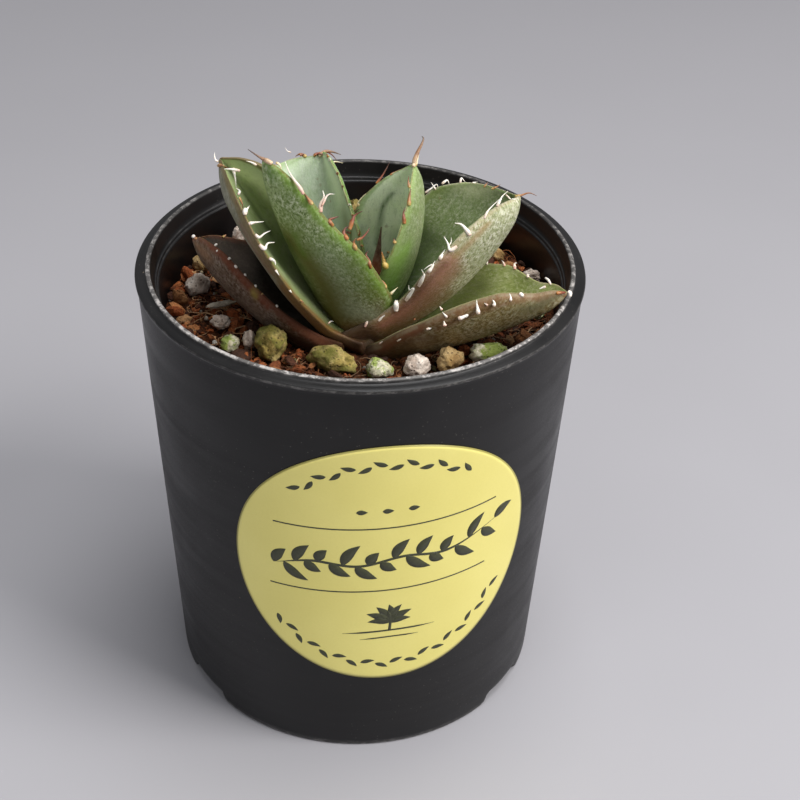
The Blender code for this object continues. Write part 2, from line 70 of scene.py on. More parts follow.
# ------------------------------------------------------------------ leaves, youngest first
# base            foot of the blade's middle line
# rise            degrees above level at the foot and at the tip
# azimuth, twist  degrees at the foot, then their change along the leaf
# width, outline  half width in mm, and its shares at STATIONS
# fold, opening   degrees that the left and right halves stand up by at the foot, then their change
# side            share of the width left and right of the middle line
# bowl            1 would be a straight V across, more is rounder
# thick           at the foot and at the tip
# sheath          station where it starts, length, narrowing, rise and azimuth of its inner end
LEAVES = {
    "leaf_upright_right": dict(
        base=(3.8, -2.4, 89.0), rise=(52, 102), azimuth=(30, 2), length=32, twist=(8, -18),
        width=11.7, fold=(54, 50), opening=(-2, 7), outline=(0.60, 0.81, 1.0, 0.92, 0.66),
        side=(1.0, 1.03), bowl=1.6, thick=(2.8, 1.1), sheath=(0, 2, 0.95, 52, 30)),
    "leaf_front_left": dict(
        base=(-0.5, -7.6, 86.9), rise=(57, 74), azimuth=(-152, -2), length=45.3, twist=(-9, 5),
        width=12.4, fold=(33, 43), opening=(-16, -15), outline=(0.60, 0.96, 1.0, 0.72, 0.49),
        side=(0.96, 1.01), bowl=1.6, thick=(3.5, 1.2), sheath=(0, 2.5, 0.95, 57, -152)),
    "leaf_back_left": dict(
        base=(-5.1, 1.2, 86.9), rise=(56, 43), azimuth=(108, -12), length=31.1, twist=(11, 16),
        width=13.8, fold=(50, 38), opening=(13, 5), outline=(0.60, 0.85, 1.0, 1.0, 0.74),
        side=(0.97, 1.10), bowl=1.6, thick=(3.4, 1.4), sheath=(0, 2, 0.95, 56, 108)),
    "leaf_right": dict(
        base=(4.7, -7.0, 87.4), rise=(24, 67), azimuth=(12, 2), length=38.5, twist=(1, 1),
        width=15.1, fold=(47, 46), opening=(5, 5), outline=(0.58, 0.73, 1.0, 0.95, 0.71),
        side=(1.0, 1.09), bowl=1.6, thick=(2.6, 1.7), sheath=(0, 8, 0.85, 20, 12)),
    "leaf_left": dict(
        base=(-4.5, -7.1, 92.6), rise=(55, 50), azimuth=(162, 17), length=42.6, twist=(34, 8),
        width=12.8, fold=(76, 39), opening=(0, 17), outline=(0.40, 0.70, 1.0, 1.10, 0.87),
        side=(0.70, 1.24), bowl=1.9, thick=(4.4, 2.4), sheath=(0.14, 4.5, 0.85, 0, 150)),
    "leaf_low_right": dict(
        base=(15.5, -11.7, 89.2), rise=(16, 32), azimuth=(-12, 8), length=36.4, twist=(-4, 20),
        width=12.0, fold=(39, 45), opening=(9, -1), outline=(0.55, 0.85, 1.0, 0.83, 0.35),
        side=(1.0, 1.05), bowl=1.6, thick=(4.0, 1.9), sheath=(0.25, 7, 0.85, 37, -16)),
    "leaf_low_left": dict(
        base=(-5.0, -10.2, 85.7), rise=(8, 37), azimuth=(161, -15), length=35.7, twist=(2, -28),
        width=11.4, fold=(38, 38), opening=(-6, 6), outline=(0.60, 0.85, 1.0, 0.95, 0.62),
        side=(1.01, 1.03), bowl=1.7, thick=(4.2, 1.3), sheath=(0, 3.5, 0.9, 8, 161)),
}
STATIONS = (0.0, 0.20, 0.45, 0.70, 0.87)
BUD_BASE = (1.6, -4.6, 89.0)
BUD_TIP = (3.9, -3.8, 108.0)
BUD_R = 2.0
CROWN_XY = (1.0, -6.0)
CROWN_R = 3.0
CROWN_BOTTOM_Z = 76.0
CROWN_TOP_Z = 86.5
LEAF_ROWS = 110
LEAF_COLUMNS = 45
EDGE_ROUND = 0.18

# Loose pieces on the mix: centre, size, turn about Z, kind.
STONES = {
    "stone_pale_far_left": ((-34.4, 13.6, 88.2), (3.4, 3.4, 4.2), 20, "cream"),
    "stone_pitted": ((-34.2, 4.6, 88.2), (5.4, 4.8, 4.4), 10, "pumice"),
    "bark_left": ((-36.9, -1.2, 88.4), (2.2, 3.0, 4.6), 65, "bark"),
    "stick_left": ((-28.3, -2.7, 88.2), (6.0, 1.3, 1.2), 25, "stick"),
    "stone_small_left": ((-27.8, -8.6, 87.9), (4.2, 3.4, 2.8), -20, "pumice"),
    "stone_mossy_left": ((-25.0, -16.2, 87.8), (3.8, 3.8, 3.6), 0, "green"),
    "stone_pale_left": ((-21.3, -15.4, 88.1), (2.4, 3.0, 4.0), -30, "pumice"),
    "stone_yellow_left": ((-16.8, -16.9, 88.5), (6.2, 7.0, 7.0), 25, "yellow"),
    "stone_yellow_front": ((-4.4, -20.2, 87.6), (9.6, 5.8, 5.4), -12, "yellow"),
    "stone_green_front": ((4.4, -22.6, 87.5), (5.4, 4.6, 4.2), -20, "green"),
    "stone_round_front": ((11.9, -21.4, 87.6), (5.2, 5.0, 4.6), 0, "pumice"),
    "stone_angular_front": ((18.0, -20.2, 88.1), (5.4, 5.0, 5.4), 30, "cream"),
    "stone_long_right": ((25.6, -16.6, 88.3), (7.8, 3.8, 4.4), 22, "green"),
    "stone_green_far_right": ((36.2, -0.9, 87.6), (2.8, 3.4, 2.4), 0, "green"),
    "stone_back_right": ((35.6, 12.5, 88.0), (3.6, 3.4, 3.2), 15, "pumice"),
    "stone_brown_back": ((28.6, 20.6, 88.1), (3.0, 3.2, 3.2), 0, "cream"),
    "bark_back": ((31.2, 17.0, 88.0), (3.0, 1.6, 1.6), -20, "bark"),
    "stone_yellow_back": ((-2.9, 37.2, 89.0), (3.4, 3.0, 4.6), 0, "yellow"),
    "stone_pale_back": ((-27.6, 24.2, 89.0), (3.0, 3.0, 4.2), -40, "pumice"),
}


# ------------------------------------------------------------------ mesh helpers
def make_piece(name, verts, faces, material, node=None, slot=None, smooth=True, shades=None):
    """A mesh object in metres from millimetre points, riding on the root body."""
    mesh = bpy.data.meshes.new(name)
    mesh.from_pydata((np.asarray(verts, float) * MM).tolist(), [], [tuple(f) for f in faces])
    mesh.update()
    mesh.shade_smooth() if smooth else mesh.shade_flat()
    mesh.materials.append(material)
    for key, values in (shades or {}).items():
        values = np.asarray(values, np.float32)
        kind = "FLOAT" if values.ndim == 1 else ("FLOAT_VECTOR" if values.shape[1] == 3 else "FLOAT_COLOR")
        layer = mesh.attributes.new(key, kind, "POINT")
        field = {"FLOAT": "value", "FLOAT_VECTOR": "vector", "FLOAT_COLOR": "color"}[kind]
        layer.data.foreach_set(field, values.reshape(-1))
    obj = bpy.data.objects.new(name, mesh)
    bpy.context.scene.collection.objects.link(obj)
    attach(obj, "root")
    if node:
        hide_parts(node)
    return obj


def unit(v):
    return v / (np.linalg.norm(v, axis=-1, keepdims=True) + 1e-12)


def circle(r, z, sides, centre=(0.0, 0.0)):
    """Points of a level circle."""
    turns = [2 * math.pi * i / sides for i in range(sides)]
    return [(centre[0] + r * math.cos(turn), centre[1] + r * math.sin(turn), z) for turn in turns]


def ring_quads(rows, loop, flip=False):
    """Faces between closed rings of points, row after row."""
    faces = []
    for row in range(rows - 1):
        a, b = row * loop, (row + 1) * loop
        for j in range(loop):
            k = (j + 1) % loop
            faces.append((a + j, b + j, b + k, a + k) if flip else (a + j, a + k, b + k, b + j))
    return faces


def smooth_curve(xs, ys, at):
    """Monotone cubic through the stations, so the outline never overshoots."""
    xs = np.asarray(xs, float)
    ys = np.asarray(ys, float)
    step = np.diff(xs)
    slope = np.diff(ys) / step
    tangent = np.zeros(len(xs))
    for i in range(1, len(xs) - 1):
        if slope[i - 1] * slope[i] > 0:
            w1 = 2 * step[i] + step[i - 1]
            w2 = step[i] + 2 * step[i - 1]
            tangent[i] = (w1 + w2) / (w1 / slope[i - 1] + w2 / slope[i])
    tangent[0] = slope[0]
    tangent[-1] = slope[-1]
    k = np.clip(np.searchsorted(xs, at, side="right") - 1, 0, len(step) - 1)
    t = (at - xs[k]) / step[k]
    h = step[k]
    return ((2 * t ** 3 - 3 * t ** 2 + 1) * ys[k] + (t ** 3 - 2 * t ** 2 + t) * h * tangent[k]
            + (3 * t ** 2 - 2 * t ** 3) * ys[k + 1] + (t ** 3 - t ** 2) * h * tangent[k + 1])


def spline(points, count):
    """Smooth points through a few given ones (Catmull-Rom)."""
    p = np.asarray(points, float)
    if len(p) == 2:
        f = np.linspace(0, 1, count)[:, None]
        return p[0] * (1 - f) + p[1] * f
    p = np.vstack([2 * p[0] - p[1], p, 2 * p[-1] - p[-2]])
    spans = len(p) - 3
    out = []
    for f in np.linspace(0, spans - 1e-9, count):
        i = int(f)
        t = f - i
        a, b, c, d = p[i:i + 4]
        out.append(0.5 * (2 * b + (c - a) * t + (2 * a - 5 * b + 4 * c - d) * t * t
                          + (3 * b - a - 3 * c + d) * t ** 3))
    return np.array(out)


def tube(points, radii, sides=8):
    """Closed tapering tube along points; returns verts, faces and the share along it."""
    points = np.asarray(points, float)
    ahead = np.gradient(points, axis=0)
    ahead /= np.linalg.norm(ahead, axis=1, keepdims=True) + 1e-9
    ref = np.array([0.31, 0.52, 0.8])
    verts, share = [], []
    for i, (p, d, r) in enumerate(zip(points, ahead, radii)):
        ref = ref - d * ref.dot(d)
        ref /= np.linalg.norm(ref)
        other = np.cross(d, ref)
        for k in range(sides):
            turn = 2 * math.pi * k / sides
            verts.append(p + r * (ref * math.cos(turn) + other * math.sin(turn)))
            share.append(i / (len(points) - 1))
    faces = ring_quads(len(points), sides)
    faces.append(tuple(reversed(range(sides))))
    faces.append(tuple(range((len(points) - 1) * sides, len(points) * sides)))
    return np.array(verts), faces, np.array(share)


class Heap:
    """Collects many small closed shapes into one mesh, with a colour for each point."""

    def __init__(self):
        self.verts, self.faces, self.colours, self.count = [], [], [], 0

    def add(self, verts, faces, colours):
        verts = np.asarray(verts, float)
        self.verts.append(verts)
        self.faces.extend(tuple(int(i) + self.count for i in f) for f in faces)
        colours = np.asarray(colours, float)
        if colours.ndim == 1:
            colours = np.tile(colours, (len(verts), 1))
        if colours.shape[1] == 3:
            colours = np.hstack([colours, np.ones((len(colours), 1))])
        self.colours.append(colours)
        self.count += len(verts)

    def piece(self, name, material, smooth=True, **words):
        return make_piece(name, np.vstack(self.verts), self.faces, material, smooth=smooth,
                          shades={"tone": np.vstack(self.colours)}, **words)


# ------------------------------------------------------------------ shader helpers
class Shade:
    """Short-hand for one material's nodes. Values may be numbers, colours or sockets."""

    def __init__(self, name, roughness=0.5, specular=0.5):
        self.mat = bpy.data.materials.new(name)
        self.mat.use_nodes = True
        self.tree = self.mat.node_tree
        self.bsdf = self.tree.nodes["Principled BSDF"]
        self.bsdf.inputs["Roughness"].default_value = roughness
        self.bsdf.inputs["Specular IOR Level"].default_value = specular

    def put(self, value, socket):
        if isinstance(value, bpy.types.NodeSocket):
            self.tree.links.new(value, socket)
        elif isinstance(value, (tuple, list)):
            socket.default_value = (*value, 1.0) if len(value) == 3 and socket.type == "RGBA" else value
        else:
            socket.default_value = value

    def set(self, name, value):
        self.put(value, self.bsdf.inputs[name])

    def math(self, op, a, b):
        node = self.tree.nodes.new("ShaderNodeMath")
        node.operation = op
        self.put(a, node.inputs[0])
        self.put(b, node.inputs[1])
        return node.outputs[0]

    def times(self, a, b):
        return self.math("MULTIPLY", a, b)

    def plus(self, a, b):
        return self.math("ADD", a, b)

    def around(self, value, size):
        """A noise of 0 to 1 turned into plus or minus half the size."""
        return self.times(self.math("SUBTRACT", value, 0.5), size)

    def mix(self, share, a, b, mode="MIX"):
        node = self.tree.nodes.new("ShaderNodeMix")
        node.data_type = "RGBA"
        node.blend_type = mode
        self.put(share, node.inputs[0])
        self.put(a, node.inputs[6])
        self.put(b, node.inputs[7])
        return node.outputs[2]

    def step(self, value, low, high, to=(0.0, 1.0)):
        node = self.tree.nodes.new("ShaderNodeMapRange")
        node.interpolation_type = "SMOOTHSTEP"
        self.put(value, node.inputs[0])
        for i, v in enumerate((low, high, *to)):
            node.inputs[i + 1].default_value = v
        return node.outputs[0]

    def over(self, under, colour, value, low, high, amount=1.0):
        """A colour laid over another as far as the value has gone from low to high."""
        return self.mix(self.step(value, low, high, (0.0, amount)), under, colour)

    def attribute(self, name, out="Fac"):
        node = self.tree.nodes.new("ShaderNodeAttribute")
        node.attribute_name = name
        return node.outputs[out]

    def place(self, scale=(1000.0, 1000.0, 1000.0), shift=(0.0, 0.0, 0.0), source=None):
        """Object coordinates in millimetres by default, stretched and shifted."""
        if source is None:
            source = self.tree.nodes.new("ShaderNodeTexCoord").outputs["Object"]
        node = self.tree.nodes.new("ShaderNodeMapping")
        node.inputs["Scale"].default_value = scale
        node.inputs["Location"].default_value = shift
        self.tree.links.new(source, node.inputs["Vector"])
        return node.outputs[0]

    def noise(self, scale, where, detail=4.0, rough=0.55, warp=0.0):
        node = self.tree.nodes.new("ShaderNodeTexNoise")
        node.inputs["Scale"].default_value = scale
        node.inputs["Detail"].default_value = detail
        node.inputs["Roughness"].default_value = rough
        node.inputs["Distortion"].default_value = warp
        self.tree.links.new(where, node.inputs["Vector"])
        return node.outputs[0]

    def cells(self, scale, where):
        node = self.tree.nodes.new("ShaderNodeTexVoronoi")
        node.inputs["Scale"].default_value = scale
        self.tree.links.new(where, node.inputs["Vector"])
        return node.outputs["Distance"]

    def axis(self, vector, index):
        node = self.tree.nodes.new("ShaderNodeSeparateXYZ")
        self.tree.links.new(vector, node.inputs[0])
        return node.outputs[index]

    def glow_within(self, weight, radius, scale):
        """Light that enters the surface and comes out again nearby."""
        self.set("Subsurface Weight", weight)
        self.set("Subsurface Radius", radius)
        self.set("Subsurface Scale", scale)

    def bump(self, height, distance_mm, strength=1.0, before=None):
        node = self.tree.nodes.new("ShaderNodeBump")
        node.inputs["Distance"].default_value = distance_mm * MM
        node.inputs["Strength"].default_value = strength
        self.put(height, node.inputs["Height"])
        if before is not None:
            self.tree.links.new(before, node.inputs["Normal"])
        return node.outputs[0]


# ------------------------------------------------------------------ camera, floor and light
VIEW_AHEAD = (0.0, 0.8089, -0.5879)
VIEW_ROLL_DEG = 1.95
CAMERA_PLACE = (0.00872, -0.25936, 0.25223)
LENS_MM = 67.37


def build_camera():
    ahead = Vector(VIEW_AHEAD).normalized()
    right = Vector((1.0, 0.0, 0.0))
    above = right.cross(ahead)
    roll = math.radians(VIEW_ROLL_DEG)
    tilted_right = right * math.cos(roll) + above * math.sin(roll)
    tilted_up = above * math.cos(roll) - right * math.sin(roll)
    data = bpy.data.cameras.new("camera")
    data.sensor_width = 36.0
    data.lens = LENS_MM
    data.clip_start = 0.01
    camera = bpy.data.objects.new("camera", data)
    bpy.context.scene.collection.objects.link(camera)
    turn = Matrix((tilted_right, tilted_up, -ahead)).transposed().to_4x4()
    camera.matrix_world = Matrix.Translation(CAMERA_PLACE) @ turn
    bpy.context.scene.camera = camera


def floor_material():
    """Pale paper, with painted shade that darkens it slowly towards the back."""
    shade = Shade("pale_floor", 0.55, 0.25)
    where = shade.place()
    cloud = shade.noise(0.006, where, 3.0)
    fine = shade.noise(0.9, where, 3.0)
    tone = shade.over((0.338, 0.331, 0.353), (0.358, 0.351, 0.374), cloud, 0.3, 0.7)
    # painted shade: the colour darkens towards the back
    tone = shade.over(tone, (0.262, 0.256, 0.274), shade.axis(where, 1), -120.0, 620.0)
    tone = shade.over(tone, (0.35, 0.35, 0.36), fine, 0.2, 0.8, 0.05)
    shade.set("Base Color", tone)
    return shade.mat


def soft_box(name, place, size, watts, tint=(1.0, 1.0, 1.0)):
    """A square light that faces the middle of the pot."""
    data = bpy.data.lights.new(name, "AREA")
    data.shape = "RECTANGLE"
    data.size, data.size_y = size
    data.energy = watts
    data.color = tint
    light = bpy.data.objects.new(name, data)
    light.location = place
    light.rotation_euler = (Vector((0, 0, 0.06)) - Vector(place)).to_track_quat("-Z", "Y").to_euler()
    bpy.context.scene.collection.objects.link(light)


def build_stage():
    scene = bpy.context.scene
    scene.view_settings.view_transform = "Standard"
    build_camera()
    mesh = bpy.data.meshes.new("floor")
    mesh.from_pydata([(-3, -2, 0), (3, -2, 0), (3, 4, 0), (-3, 4, 0)], [], [(0, 1, 2, 3)])
    mesh.materials.append(floor_material())
    floor = bpy.data.objects.new("floor", mesh)
    scene.collection.objects.link(floor)

    world = bpy.data.worlds.new("studio")
    scene.world = world
    world.use_nodes = True
    sky = world.node_tree.nodes["Background"]
    sky.inputs["Color"].default_value = (0.95, 0.97, 1.0, 1.0)
    sky.inputs["Strength"].default_value = 0.33

    soft_box("key", (0.80, -0.30, 0.84), (0.55, 0.55), 14.5, (1.0, 0.985, 0.96))
    soft_box("top", (0.16, 0.02, 1.15), (0.7, 0.5), 8.5)
    soft_box("fill", (-0.60, -0.90, 0.50), (0.6, 0.6), 2.0, (0.96, 0.98, 1.0))


# ------------------------------------------------------------------ pot and sticker
def wall_r(z):
    return FOOT_R + (WALL_TOP_R - FOOT_R) * z / WALL_TOP_Z


def pot_material():
    """Black plastic with dust, soil specks, slow changes of gloss, a scuffed lip and painted highlight lines on the
    lip, the flange's edge and the inner ledges.
    """
    shade = Shade("pot_plastic_look", 0.42, 0.29)
    where = shade.place()
    fine = shade.noise(3.2, where, 5.0)
    slow = shade.noise(0.05, where, 3.0)
    bands = shade.noise(1.0, shade.place((12.0, 12.0, 420.0)), 3.0)
    tone = shade.over((0.0055, 0.0052, 0.0055), (0.0095, 0.0088, 0.0092), slow, 0.35, 0.7)
    dust = shade.step(shade.noise(0.42, where, 6.0, 0.7), 0.60, 0.78)
    tone = shade.mix(shade.times(dust, 0.035), tone, (0.20, 0.18, 0.16))
    spots = shade.step(shade.cells(0.16, where), 0.045, 0.02)
    rare = shade.step(shade.noise(0.09, where, 1.0), 0.55, 0.62)
    tone = shade.mix(shade.times(spots, shade.times(rare, 0.7)), tone, (0.33, 0.26, 0.19))
    specks = shade.step(shade.cells(0.75, where), 0.13, 0.07)
    tone = shade.mix(shade.times(specks, shade.step(slow, 0.42, 0.60, (0.05, 0.45))), tone, (0.11, 0.10, 0.09))
    # the attribute marks the scuffed lip, which also carries a painted highlight, and the painted highlight lines
    # on the flange's edge and on the inner ledges
    scuffs = shade.noise(0.55, shade.place((1000.0, 1000.0, 2200.0)), 6.0, 0.75)
    lip = shade.attribute("scuff_and_highlight")
    front = shade.step(shade.axis(where, 1), 30.0, -38.0, (0.35, 1.0))
    worn_and_highlight = shade.times(shade.times(lip, front), shade.step(scuffs, 0.47, 0.60, (0.22, 1.0)))
    shade.set("Base Color", shade.mix(worn_and_highlight, tone, (0.50, 0.47, 0.45)))
    rough = shade.plus(shade.step(fine, 0.2, 0.8, (0.34, 0.44)), shade.times(worn_and_highlight, 0.3))
    rough = shade.plus(rough, shade.step(bands, 0.3, 0.7, (-0.03, 0.04)))
    shade.set("Roughness", shade.plus(rough, shade.step(slow, 0.35, 0.65, (-0.04, 0.08))))
    shade.set("Normal", shade.bump(fine, 0.012, 0.6, shade.bump(bands, 0.02, 0.5)))
    return shade.mat


def pot_profile():
    """Radius, height and the share of scuff and painted highlight, from the underside's middle, up the wall, over
    the lip and down to the floor.
    """
    rings = [
        (0.0, FLOOR_BOTTOM_Z, 0), (30.0, FLOOR_BOTTOM_Z, 0), (37.3, FLOOR_BOTTOM_Z, 0), (37.75, 3.0, 0),
        (38.0, 0.35, 0.1), (38.2, 0.0, 0.2), (39.7, 0.0, 0.3), (40.2, 0.2, 0.5), (40.42, 0.7, 0.2), (40.48, 1.6, 0)]
    rings += [(wall_r(z), z, 0) for z in np.linspace(4, 96.2, 24)]
    # from here the third number is partly scuffing of the lip and partly painted highlight: a line on the flange's
    # edge, the lip's inner edge and two lines on the inner ledges
    rings += [
        (44.64, 96.9, 0), (44.72, 97.05, 0), (44.95, 97.18, 0.10), (45.0, 97.4, 0.22), (44.93, 97.66, 0.12),
        (44.82, 97.78, 0.0), (44.7, 97.84, 0), (43.8, 98.0, 0), (43.1, 98.08, 0), (42.94, 98.2, 0.05),
        (42.90, 98.45, 0.15), (42.84, 98.62, 0.75), (42.72, 98.74, 1.0), (42.5, 98.8, 0.9), (42.2, 98.78, 0.8),
        (42.02, 98.66, 0.6), (41.93, 98.5, 0.12), (41.88, 98.3, 0), (41.7, 97.4, 0), (41.4, 96.2, 0),
        (41.18, 95.45, 0), (41.05, 95.33, 0.10), (40.97, 95.28, 0.15), (40.86, 95.2, 0), (40.82, 94.75, 0),
        (40.76, 94.67, 0.12), (40.7, 94.62, 0.12), (40.45, 94.5, 0), (40.38, 94.2, 0)]
    rings += [(36.8 + 3.58 * (z - FLOOR_TOP_Z) / 88.0, z, 0) for z in np.linspace(93, 7.5, 16)]
    return rings + [(36.4, 6.5, 0), (35.6, 6.05, 0), (30.0, FLOOR_TOP_Z, 0), (0.0, FLOOR_TOP_Z, 0)]


def notch_lift(angle_deg, r, z):
    """How far a point of the foot ring is raised by the notches."""
    if z >= 2.9 or r <= 37.9:
        return 0.0
    gap = min(abs((angle_deg - c + 180) % 360 - 180) for c in NOTCH_CENTRES_DEG)
    return max(0.0, NOTCH_HEIGHT - z * 0.9) * np.clip((NOTCH_HALF_DEG + 0.9 - gap) / 1.8, 0, 1)


def drill_drains(pot):
    """Eight holes in a ring and one in the middle, cut through the floor."""
    for i in range(9):
        turn = 2 * math.pi * (i + 0.5) / 8
        ring = 0.0 if i == 8 else DRAIN_RING_R
        bpy.ops.mesh.primitive_cylinder_add(
            vertices=32, radius=DRAIN_R * MM, depth=0.01,
            location=(ring * math.cos(turn) * MM, ring * math.sin(turn) * MM,
                      (FLOOR_TOP_Z + FLOOR_BOTTOM_Z) / 2 * MM))
        cutter = bpy.context.object
        cut = pot.modifiers.new("drain", "BOOLEAN")
        cut.solver = "EXACT"
        cut.object = cutter
        graph = bpy.context.evaluated_depsgraph_get()
        result = bpy.data.meshes.new_from_object(pot.evaluated_get(graph))
        pot.modifiers.clear()
        pot.data = result
        bpy.data.objects.remove(cutter, do_unlink=True)


def build_pot():
    """The pot as a fine turned shell with rounded edges, foot notches and drain holes."""
    arcs = 288
    rings = pot_profile()
    turns = np.radians(np.arange(arcs) * 360.0 / arcs)
    verts = [(r * math.cos(turn), r * math.sin(turn), z + notch_lift(math.degrees(turn), r, z))
             for r, z, _ in rings for turn in turns]
    scuff_and_highlight = np.repeat([worn_and_highlight for _, _, worn_and_highlight in rings], arcs)
    pot = make_piece("pot_shell", verts, ring_quads(len(rings), arcs), pot_material(), "pot", "pot_plastic",
                     shades={"scuff_and_highlight": scuff_and_highlight})
    work = bmesh.new()
    work.from_mesh(pot.data)
    bmesh.ops.remove_doubles(work, verts=work.verts, dist=1e-7)
    bmesh.ops.recalc_face_normals(work, faces=work.faces)
    work.to_mesh(pot.data)
    work.free()
    drill_drains(pot)


def on_wall(u, v, lift):
    """A point of the sticker's flat plane (mm from its centre) laid on the cone."""
    z = STICKER_Z + v
    radius = wall_r(z)
    turn = math.radians(STICKER_TURN_DEG) + u / radius
    return ((radius + lift) * math.cos(turn), (radius + lift) * math.sin(turn), z)


def sticker_material():
    shade = Shade("sticker_paper_look", 0.36, 0.4)
    where = shade.place()
    tone = shade.over((0.78, 0.69, 0.205), (0.82, 0.73, 0.23), shade.noise(0.05, where, 2.0), 0.3, 0.7)
    mottle = shade.noise(2.4, where, 4.0)
    tone = shade.over(tone, (0.60, 0.52, 0.14), mottle, 0.3, 0.8, 0.10)
    tone = shade.over(tone, (0.16, 0.14, 0.03), shade.attribute("rim_mm"), 0.5, 0.15, 0.75)
    shade.set("Base Color", tone)
    shade.set("Roughness", shade.step(mottle, 0.2, 0.8, (0.32, 0.42)))
    shade.set("Normal", shade.bump(shade.noise(0.12, where, 2.0), 0.06, 0.5, shade.bump(mottle, 0.006, 0.5)))
    return shade.mat


def build_sticker():
    rings, sides = 34, 180
    flat = [(0.0, 0.0)]
    for ring in range(1, rings + 1):
        flat += [(u, v) for u, v, _ in circle(STICKER_R * ring / rings, 0.0, sides)]
    rim = [STICKER_R - math.hypot(u, v) for u, v in flat]
    verts = [on_wall(u, v, 0.24 if inside > 0.01 else 0.20) for (u, v), inside in zip(flat, rim)]
    verts += [on_wall(u, v, 0.02) for u, v in flat]
    half = len(flat)
    faces = []
    for i in range(sides):
        j = (i + 1) % sides
        faces += [(0, 1 + i, 1 + j), (half, half + 1 + j, half + 1 + i)]
        for ring in range(rings - 1):
            a = 1 + ring * sides
            b = a + sides
            faces += [(a + i, b + i, b + j, a + j), (half + a + i, half + a + j, half + b + j, half + b + i)]
        edge = 1 + (rings - 1) * sides
        faces.append((edge + i, half + edge + i, half + edge + j, edge + j))
    make_piece("sticker_face", verts, faces, sticker_material(), "sticker", "sticker_paper",
               shades={"rim_mm": np.array(rim + rim)})


INK = (0.035, 0.038, 0.018)
PRINT_TILT = math.radians(2.0)


def ink_material():
    shade = Shade("print_ink_look", 0.4, 0.4)
    shade.set("Base Color", shade.over(INK, (0.09, 0.09, 0.04), shade.noise(1.6, shade.place()), 0.3, 0.8, 0.3))
    return shade.mat


def print_ribbon(heap, points, widths):
    """A thin strip of ink along points of the sticker's plane, this wide to each side."""
    points = np.asarray(points, float)
    ahead = np.gradient(points, axis=0)
    ahead /= np.linalg.norm(ahead, axis=1, keepdims=True) + 1e-9
    across = np.stack([-ahead[:, 1], ahead[:, 0]], 1)
    verts = []
    for lift in (0.27, 0.21):
        for p, side, width in zip(points, across, widths):
            for share in (1.0, 0.0, -1.0):
                u, v = p + side * width * share
                verts.append(on_wall(u * math.cos(PRINT_TILT) - v * math.sin(PRINT_TILT),
                                     v * math.cos(PRINT_TILT) + u * math.sin(PRINT_TILT), lift))
    count = len(points)
    under = count * 3
    faces = []
    for i in range(count - 1):
        for a in (i * 3, i * 3 + 1):
            faces.append((a, a + 1, a + 4, a + 3))
            faces.append((under + a, under + a + 3, under + a + 4, under + a + 1))
        a = i * 3
        faces.append((a, a + 3, under + a + 3, under + a))
        faces.append((a + 2, under + a + 2, under + a + 5, a + 5))
    faces += [(a, under + a, under + a + 1, a + 1) for a in (0, 1)]
    faces += [(a, a + 1, under + a + 1, under + a) for a in (under - 3, under - 2)]
    heap.add(verts, faces, INK)


def print_line(heap, points, width, count=40, taper=0.0):
    f = np.linspace(0, 1, count)
    ends = np.clip(np.minimum(f, 1 - f) / taper, 0.12, 1) if taper else np.ones(count)
    print_ribbon(heap, spline(points, count), width * ends)


def print_leaf(heap, root, angle_deg, length, width, bend=0.12):
    a = math.radians(angle_deg)
    f = np.linspace(0, 1, 15)
    x = length * f
    y = bend * length * np.sin(math.pi * f)
    points = np.stack([root[0] + x * math.cos(a) - y * math.sin(a),
                       root[1] + x * math.sin(a) + y * math.cos(a)], 1)
    print_ribbon(heap, points, np.maximum(width * np.sin(math.pi * f ** 0.8) ** 0.9, 0.02))


def build_print():
    """Generic plant ornament: a leafy spray between two rules, a sprout, two arcs of small leaves."""
    heap = Heap()
    for v, a, b in ((11.2, -22.5, 23.0), (-5.6, -24.0, 21.0)):
        print_line(heap, [(a, v), ((a + b) / 2, v), (b, v)], 0.16, 50)
    stem = [(-23, 0.2), (-15, 2.4), (-6, 1.4), (3, 3.2), (12, 2.2), (23, 5.4)]
    print_line(heap, stem, 0.32, 60, 0.2)
    along = spline(stem, 19)
    for i, root in enumerate(along[:-1]):
        up = 1 if i % 2 == 0 else -1
        print_leaf(heap, root, 8 + up * 48, 5.0 + 1.4 * math.sin(i * 1.3), 1.15, 0.10 * up)
    print_leaf(heap, along[-1], 25, 5.0, 1.2)
    arc_r = 27.0
    for start, stop, count in ((52, 128, 13), (212, 328, 19)):
        for i in range(count):
            a = start + (stop - start) * i / (count - 1)
            root = (arc_r * math.cos(math.radians(a)), arc_r * math.sin(math.radians(a)))
            print_leaf(heap, root, a + 90 + (22 if i % 2 else -22), 2.9, 0.55, 0.05)
    for u in (-5.0, 0.0, 5.0):
        print_leaf(heap, (u - 1.1, 15.6), 0, 2.2, 0.6, 0.0)
    print_line(heap, [(-9.5, -17.6), (0, -17.2), (9.5, -17.6)], 0.22, 30, 0.2)
    print_line(heap, [(-6.0, -19.4), (0, -19.1), (6.0, -19.4)], 0.18, 24, 0.2)
    print_line(heap, [(0.0, -17.2), (0.2, -14.6), (0.0, -12.4)], 0.28, 14)
    for angle, length, width in ((90, 5.2, 1.0), (62, 5.4, 1.0), (118, 5.4, 1.0),
                                 (33, 5.4, 1.0), (147, 5.4, 1.0),
                                 (8, 4.4, 0.8), (172, 4.4, 0.8)):
        print_leaf(heap, (0.0, -15.0), angle, length, width, 0.10 if angle < 90 else -0.10)
    heap.piece("sticker_ornament", ink_material(), slot="sticker_paper")


# ------------------------------------------------------------------ leaves
def leaf_rows(leaf, rows):
    """Stations from the inner end of the sheath, which lies below 0, to the tip at 1."""
    end = -leaf["sheath"][1] / leaf["length"]
    return end + (1 - end) * np.linspace(0.0, 1.0, rows) ** 0.9


